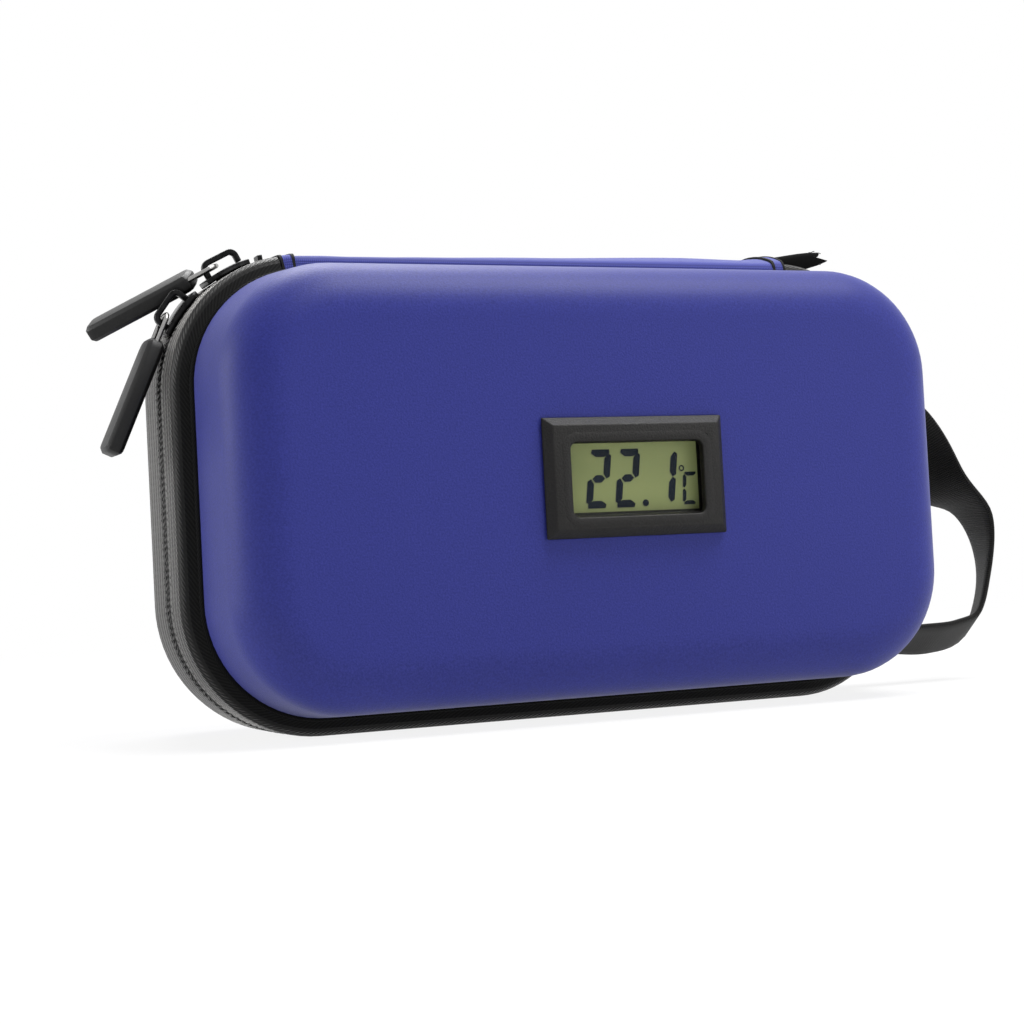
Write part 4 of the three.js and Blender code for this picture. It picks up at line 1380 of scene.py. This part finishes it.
for softNode, softFinish in softEdges.items():
    softened(softNode, *softFinish)
print("rigid pieces softened")


# Digits on the display: dark segments that lean to the right, on the front of the panel

digits = {
    "figure": {"width": 0.0059, "height": 0.014, "stroke": 0.0018, "lean": 7.1},
    "scale": {"width": 0.0039, "height": 0.0079, "stroke": 0.00095, "lean": 3.6},
    "gap": 0.00026,
    # each figure's place and the segments that are dark in it
    "shown": (
        ("figure", -0.00887, -0.0003, "abged"),
        ("figure", -0.00112, -0.0003, "abged"),
        ("figure", 0.00901, -0.0003, "bc"),
        ("scale", 0.01562, -0.00315, "afed"),
    ),
    "point": (0.00337, -0.00638, 0.00085),
    "ring": (0.01357, 0.00172, 0.00075),
    "ringWall": 0.42,       # share of the ring's radius
    # finish, shift sideways and up, distance ahead of the panel and thickness
    "layers": {
        "digit_shadows": ("digit shadow", (-0.00026, -0.00022), 0.00001, 0.00001),
        "digit_segments": ("ink", (0, 0), 0.00004, 0.00003),
    },
}
segmentPlaces = {
    "a": (0, 0.5, 0), "d": (0, -0.5, 180), "g": (0, 0, 0), "f": (-0.5, 0.25, 90), "b": (0.5, 0.25, -90),
    "e": (-0.5, -0.25, 90), "c": (0.5, -0.25, -90),
}
# What a segment's length gains, and how far its outer and inner edges are drawn in, in strokes
segmentEnds = {"standing": (0.3, 0.32, 0.7), "level": (-0.25, -0.1, 0.75), "middle": (-1.1, 0.5, 0.5)}


# One segment, drawn level about its middle and then turned into its place
def addSegment(bm, name, form):
    width, height, stroke = form["width"], form["height"], form["stroke"]
    sideways, upwards, turn = segmentPlaces[name]
    kind = "standing" if turn in (90, -90) else "middle" if name == "g" else "level"
    gain, outer, inner = segmentEnds[kind]
    length = ((height - stroke) / 2 if kind == "standing" else width) + stroke * gain
    size = Matrix.Diagonal((length - 2 * digits["gap"], stroke, 1, 1))
    made = bmesh.ops.create_grid(bm, x_segments=1, y_segments=2, size=0.5, matrix=size)["verts"]
    for vert in made:
        if abs(vert.co.y) > stroke / 4:
            vert.co.x -= math.copysign(stroke * (outer if vert.co.y > 0 else inner), vert.co.x)
    place = Matrix.Translation((sideways * (width - stroke), upwards * (height - stroke), 0))
    bmesh.ops.transform(bm, matrix=place @ Matrix.Rotation(math.radians(turn), 4, "Z"), verts=made)
    return made


def addFigure(bm, form, x, z, names):
    verts = [vert for name in names for vert in addSegment(bm, name, form)]
    slant = Matrix.Identity(4)
    slant[0][1] = math.tan(math.radians(form["lean"]))
    bmesh.ops.transform(bm, matrix=Matrix.Translation((x, z, 0)) @ slant, verts=verts)


def addDisc(bm, x, z, radius, segments):
    place = Matrix.Translation((x, z, 0))
    made = bmesh.ops.create_circle(bm, cap_ends=True, segments=segments, radius=radius, matrix=place)
    return list({f for v in made["verts"] for f in v.link_faces})


def drawDigits():
    bm = bmesh.new()
    for form, x, z, names in digits["shown"]:
        addFigure(bm, digits[form], x, z, names)
    addDisc(bm, *digits["point"], 12)
    middle = addDisc(bm, *digits["ring"], 16)
    wall = digits["ring"][2] * digits["ringWall"]
    bmesh.ops.inset_region(bm, faces=middle, thickness=wall, use_boundary=True)
    bmesh.ops.delete(bm, geom=middle, context="FACES")
    return bm


def makeDigits():
    lowest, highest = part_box("lcd_panel")
    middle = (lowest + highest) / 2
    for name, (finish, shift, ahead, thick) in digits["layers"].items():
        bm = drawDigits()
        raiseFaces(bm, bm.faces[:], thick)
        faceOutwards(bm)
        place = (middle.x + shift[0], lowest.y - ahead, middle.z + shift[1])
        putAt(bm, Matrix.Translation(place) @ upright)
        newPiece(bm, name, finish, "lid", sharp=30)


# Dark surround laid on the panel, a flat frame just inside the window: painted shade along the window's edges

surround = {"wide": 0.0032, "ahead": 0.00002, "thick": 0.00004}


def makeSurround():
    lowest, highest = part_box("lcd_panel")
    middle = (lowest + highest) / 2
    bm = bmesh.new()
    flatPlate(bm, highest.x - lowest.x, highest.z - lowest.z)
    flatFrame(bm, surround["wide"], surround["thick"])
    putAt(bm, Matrix.Translation((middle.x, lowest.y - surround["ahead"], middle.z)) @ upright)
    newPiece(bm, "panel_surround", "housing", "lid", sharp=30)


# Rounded lip of the window, just proud of the housing's front

windowLip = {
    "left": 0.0063,         # from the housing's sides to the window
    "right": 0.0064,
    "low": 0.00485,
    "top": 0.00605,
    "corner": 0.0018,
    "wide": 0.0025,
    "deep": 0.0022,
    "proud": 0.00003,
    "edge": 0.0003,
}


def makeLip():
    lowest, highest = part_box("display_housing")
    left, right = lowest.x + windowLip["left"], highest.x - windowLip["right"]
    low, top = lowest.z + windowLip["low"], highest.z - windowLip["top"]
    wide, deep = windowLip["wide"], windowLip["deep"]
    bm = bmesh.new()
    flatPlate(bm, right - left + 2 * wide, top - low + 2 * wide)
    roundCorners(bm, bm.verts[:], windowLip["corner"] + wide, 8)
    flatFrame(bm, wide, deep)
    roundEdges(bm, sharpEdges(bm), windowLip["edge"], 2)
    front = lowest.y - windowLip["proud"] + deep
    putAt(bm, Matrix.Translation(((left + right) / 2, front, (low + top) / 2)) @ upright)
    newPiece(bm, "window_lip", "housing", "lid", sharp=50)


makeDigits()
makeSurround()
makeLip()
print("digits ready")


# Inside: pen loops, cold pack and the bands that hold it

penLoop = {
    "thick": 0.001,
    "foot": 0.002,
    "radius": 0.009,
    "side": 0.0075,
    "count": 4,
    "bend": 0.0011,
    "seamInset": 0.001,         # from the strip's ends to their seams
    "stitches": 9,              # in each seam
    "stitch": (0.0014, 0.0004),
}
packBand = {"thick": 0.0012, "bend": 0.0034}
coldPack = {
    "corner": 0.012,
    "flange": 0.0035,
    "flangeHalf": 0.0003,
    "crown": ((0.003, 0.0021), (0.004, 0.0012), (0.006, 0.0007)),   # steps inwards, each with its rise
}


# A strip as wide as its solid, carried along its moves from one sewn end to the other
def elasticStrip(name, start, thin, thick, moves):
    lowest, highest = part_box(name)
    bm = bmesh.new()
    first = loopOf(bm, [start + Vector((x, 0, 0)) + thin * (thick * side) for x, side in [
        (lowest.x, -0.5), (highest.x, -0.5), (highest.x, 0.5), (lowest.x, 0.5)]])
    fillEnds(bm, first, sweepLoop(bm, first, moves))
    faceOutwards(bm)
    area = sum(f.calc_area() for f in bm.faces) / 2
    strip = newPiece(bm, f"{name}_elastic", "elastic", "rear_half", [name])


def makePenLoops(name):
    lowest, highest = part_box(name)
    thick, bend = penLoop["thick"], penLoop["bend"]
    radius = penLoop["radius"] + thick / 2
    pitch = 2 * (penLoop["radius"] + thick) + penLoop["foot"]
    foot = highest.y - thick / 2
    wall = penLoop["side"] - thick / 2 - bend
    z = lowest.z
    first = (lowest.z + highest.z) / 2 - pitch * (penLoop["count"] - 1) / 2
    moves = []
    seams = [lowest.z + penLoop["seamInset"]]
    for index in range(penLoop["count"]):
        centre = first + pitch * index
        near, far = centre - radius - bend, centre + radius + bend
        moves += [
            [(0, 0, near - z)],
            [(0, foot - bend, near), (1, 0, 0), 90, 4],
            [(0, -wall, 0)],
            [(0, foot + thick / 2 - penLoop["side"], centre), (1, 0, 0), -180, 16],
            [(0, wall, 0)],
            [(0, foot - bend, far), (1, 0, 0), 90, 4],
        ]
        z = far
        seams.append(min(centre + pitch / 2, highest.z - penLoop["seamInset"]))
    moves.append([(0, 0, highest.z - z)])
    elasticStrip(name, Vector((0, foot, lowest.z)), Vector((0, 1, 0)), thick, moves)
    places = []
    for seam in seams:
        for step in range(penLoop["stitches"]):
            x = lowest.x + (highest.x - lowest.x) * (step + 0.5) / penLoop["stitches"]
            places.append(Matrix.Translation((x, foot - thick / 2, seam)))
    sew(f"{name}_stitches", places, *penLoop["stitch"], "grey thread", "rear_half", "elastic")


def makePackBand(name):
    lowest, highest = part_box(name)
    thick, bend = packBand["thick"], packBand["bend"]
    low, high, back = lowest.z + thick / 2, highest.z - thick / 2, highest.y - thick / 2
    wall = back - bend - lowest.y
    moves = [
        [(0, wall, 0)],
        [(0, back - bend, low + bend), (1, 0, 0), 90, 6],
        [(0, 0, high - low - 2 * bend)],
        [(0, back - bend, high - bend), (1, 0, 0), 90, 6],
        [(0, -wall, 0)],
    ]
    elasticStrip(name, Vector((0, lowest.y, low)), Vector((0, 0, 1)), thick, moves)


def makePack():
    lowest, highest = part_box("cold_pack")
    bm = bmesh.new()
    flatPlate(bm, highest.x - lowest.x, highest.z - lowest.z)
    roundCorners(bm, bm.verts[:], coldPack["corner"], 6)
    cap = bm.faces[:]
    bmesh.ops.inset_region(bm, faces=cap, thickness=coldPack["flange"], use_boundary=True,
                           use_even_offset=True)
    for inset, rise in coldPack["crown"]:
        bmesh.ops.inset_region(bm, faces=cap, thickness=inset, depth=rise, use_even_offset=True)
    bmesh.ops.translate(bm, verts=bm.verts, vec=(0, 0, coldPack["flangeHalf"]))
    bmesh.ops.mirror(bm, geom=bm.verts[:] + bm.edges[:] + bm.faces[:], axis="Z", merge_dist=0)
    bmesh.ops.bridge_loops(bm, edges=[e for e in bm.edges if e.is_boundary])
    faceOutwards(bm)
    putAt(bm, Matrix.Translation((lowest + highest) / 2) @ upright)
    pouch = newPiece(bm, "cold_pack_pouch", "gel", "rear_half", ["cold_pack"], sharp=80)
    smooth = pouch.modifiers.new("smooth", "SUBSURF")
    smooth.levels = 2
    smooth.render_levels = 2


makePack()
for sideName in ("left", "right"):
    makePenLoops(f"pen_loops_{sideName}")
    makePackBand(f"pack_band_{sideName}")
print("inside ready")


# Sealed pieces of the thermometer keep their solids

keptNodes = {
    "display_lens": "lens",
    "lcd_panel": "lcd",
    "zebra_strip_upper": "rubber",
    "zebra_strip_lower": "rubber",
    "circuit_board": "board",
    "chip_blob": "epoxy",
    "thermistor": "epoxy",
    "unit_switch": "epoxy",
    "battery_contact_left": "brass",
    "battery_contact_right": "brass",
}
for keptNode, keptFinish in keptNodes.items():
    kept = frame["nodes"][keptNode].data
    kept.materials.clear()
    kept.materials.append(finishes[keptFinish])
print("kept solids finished:", len(keptNodes))
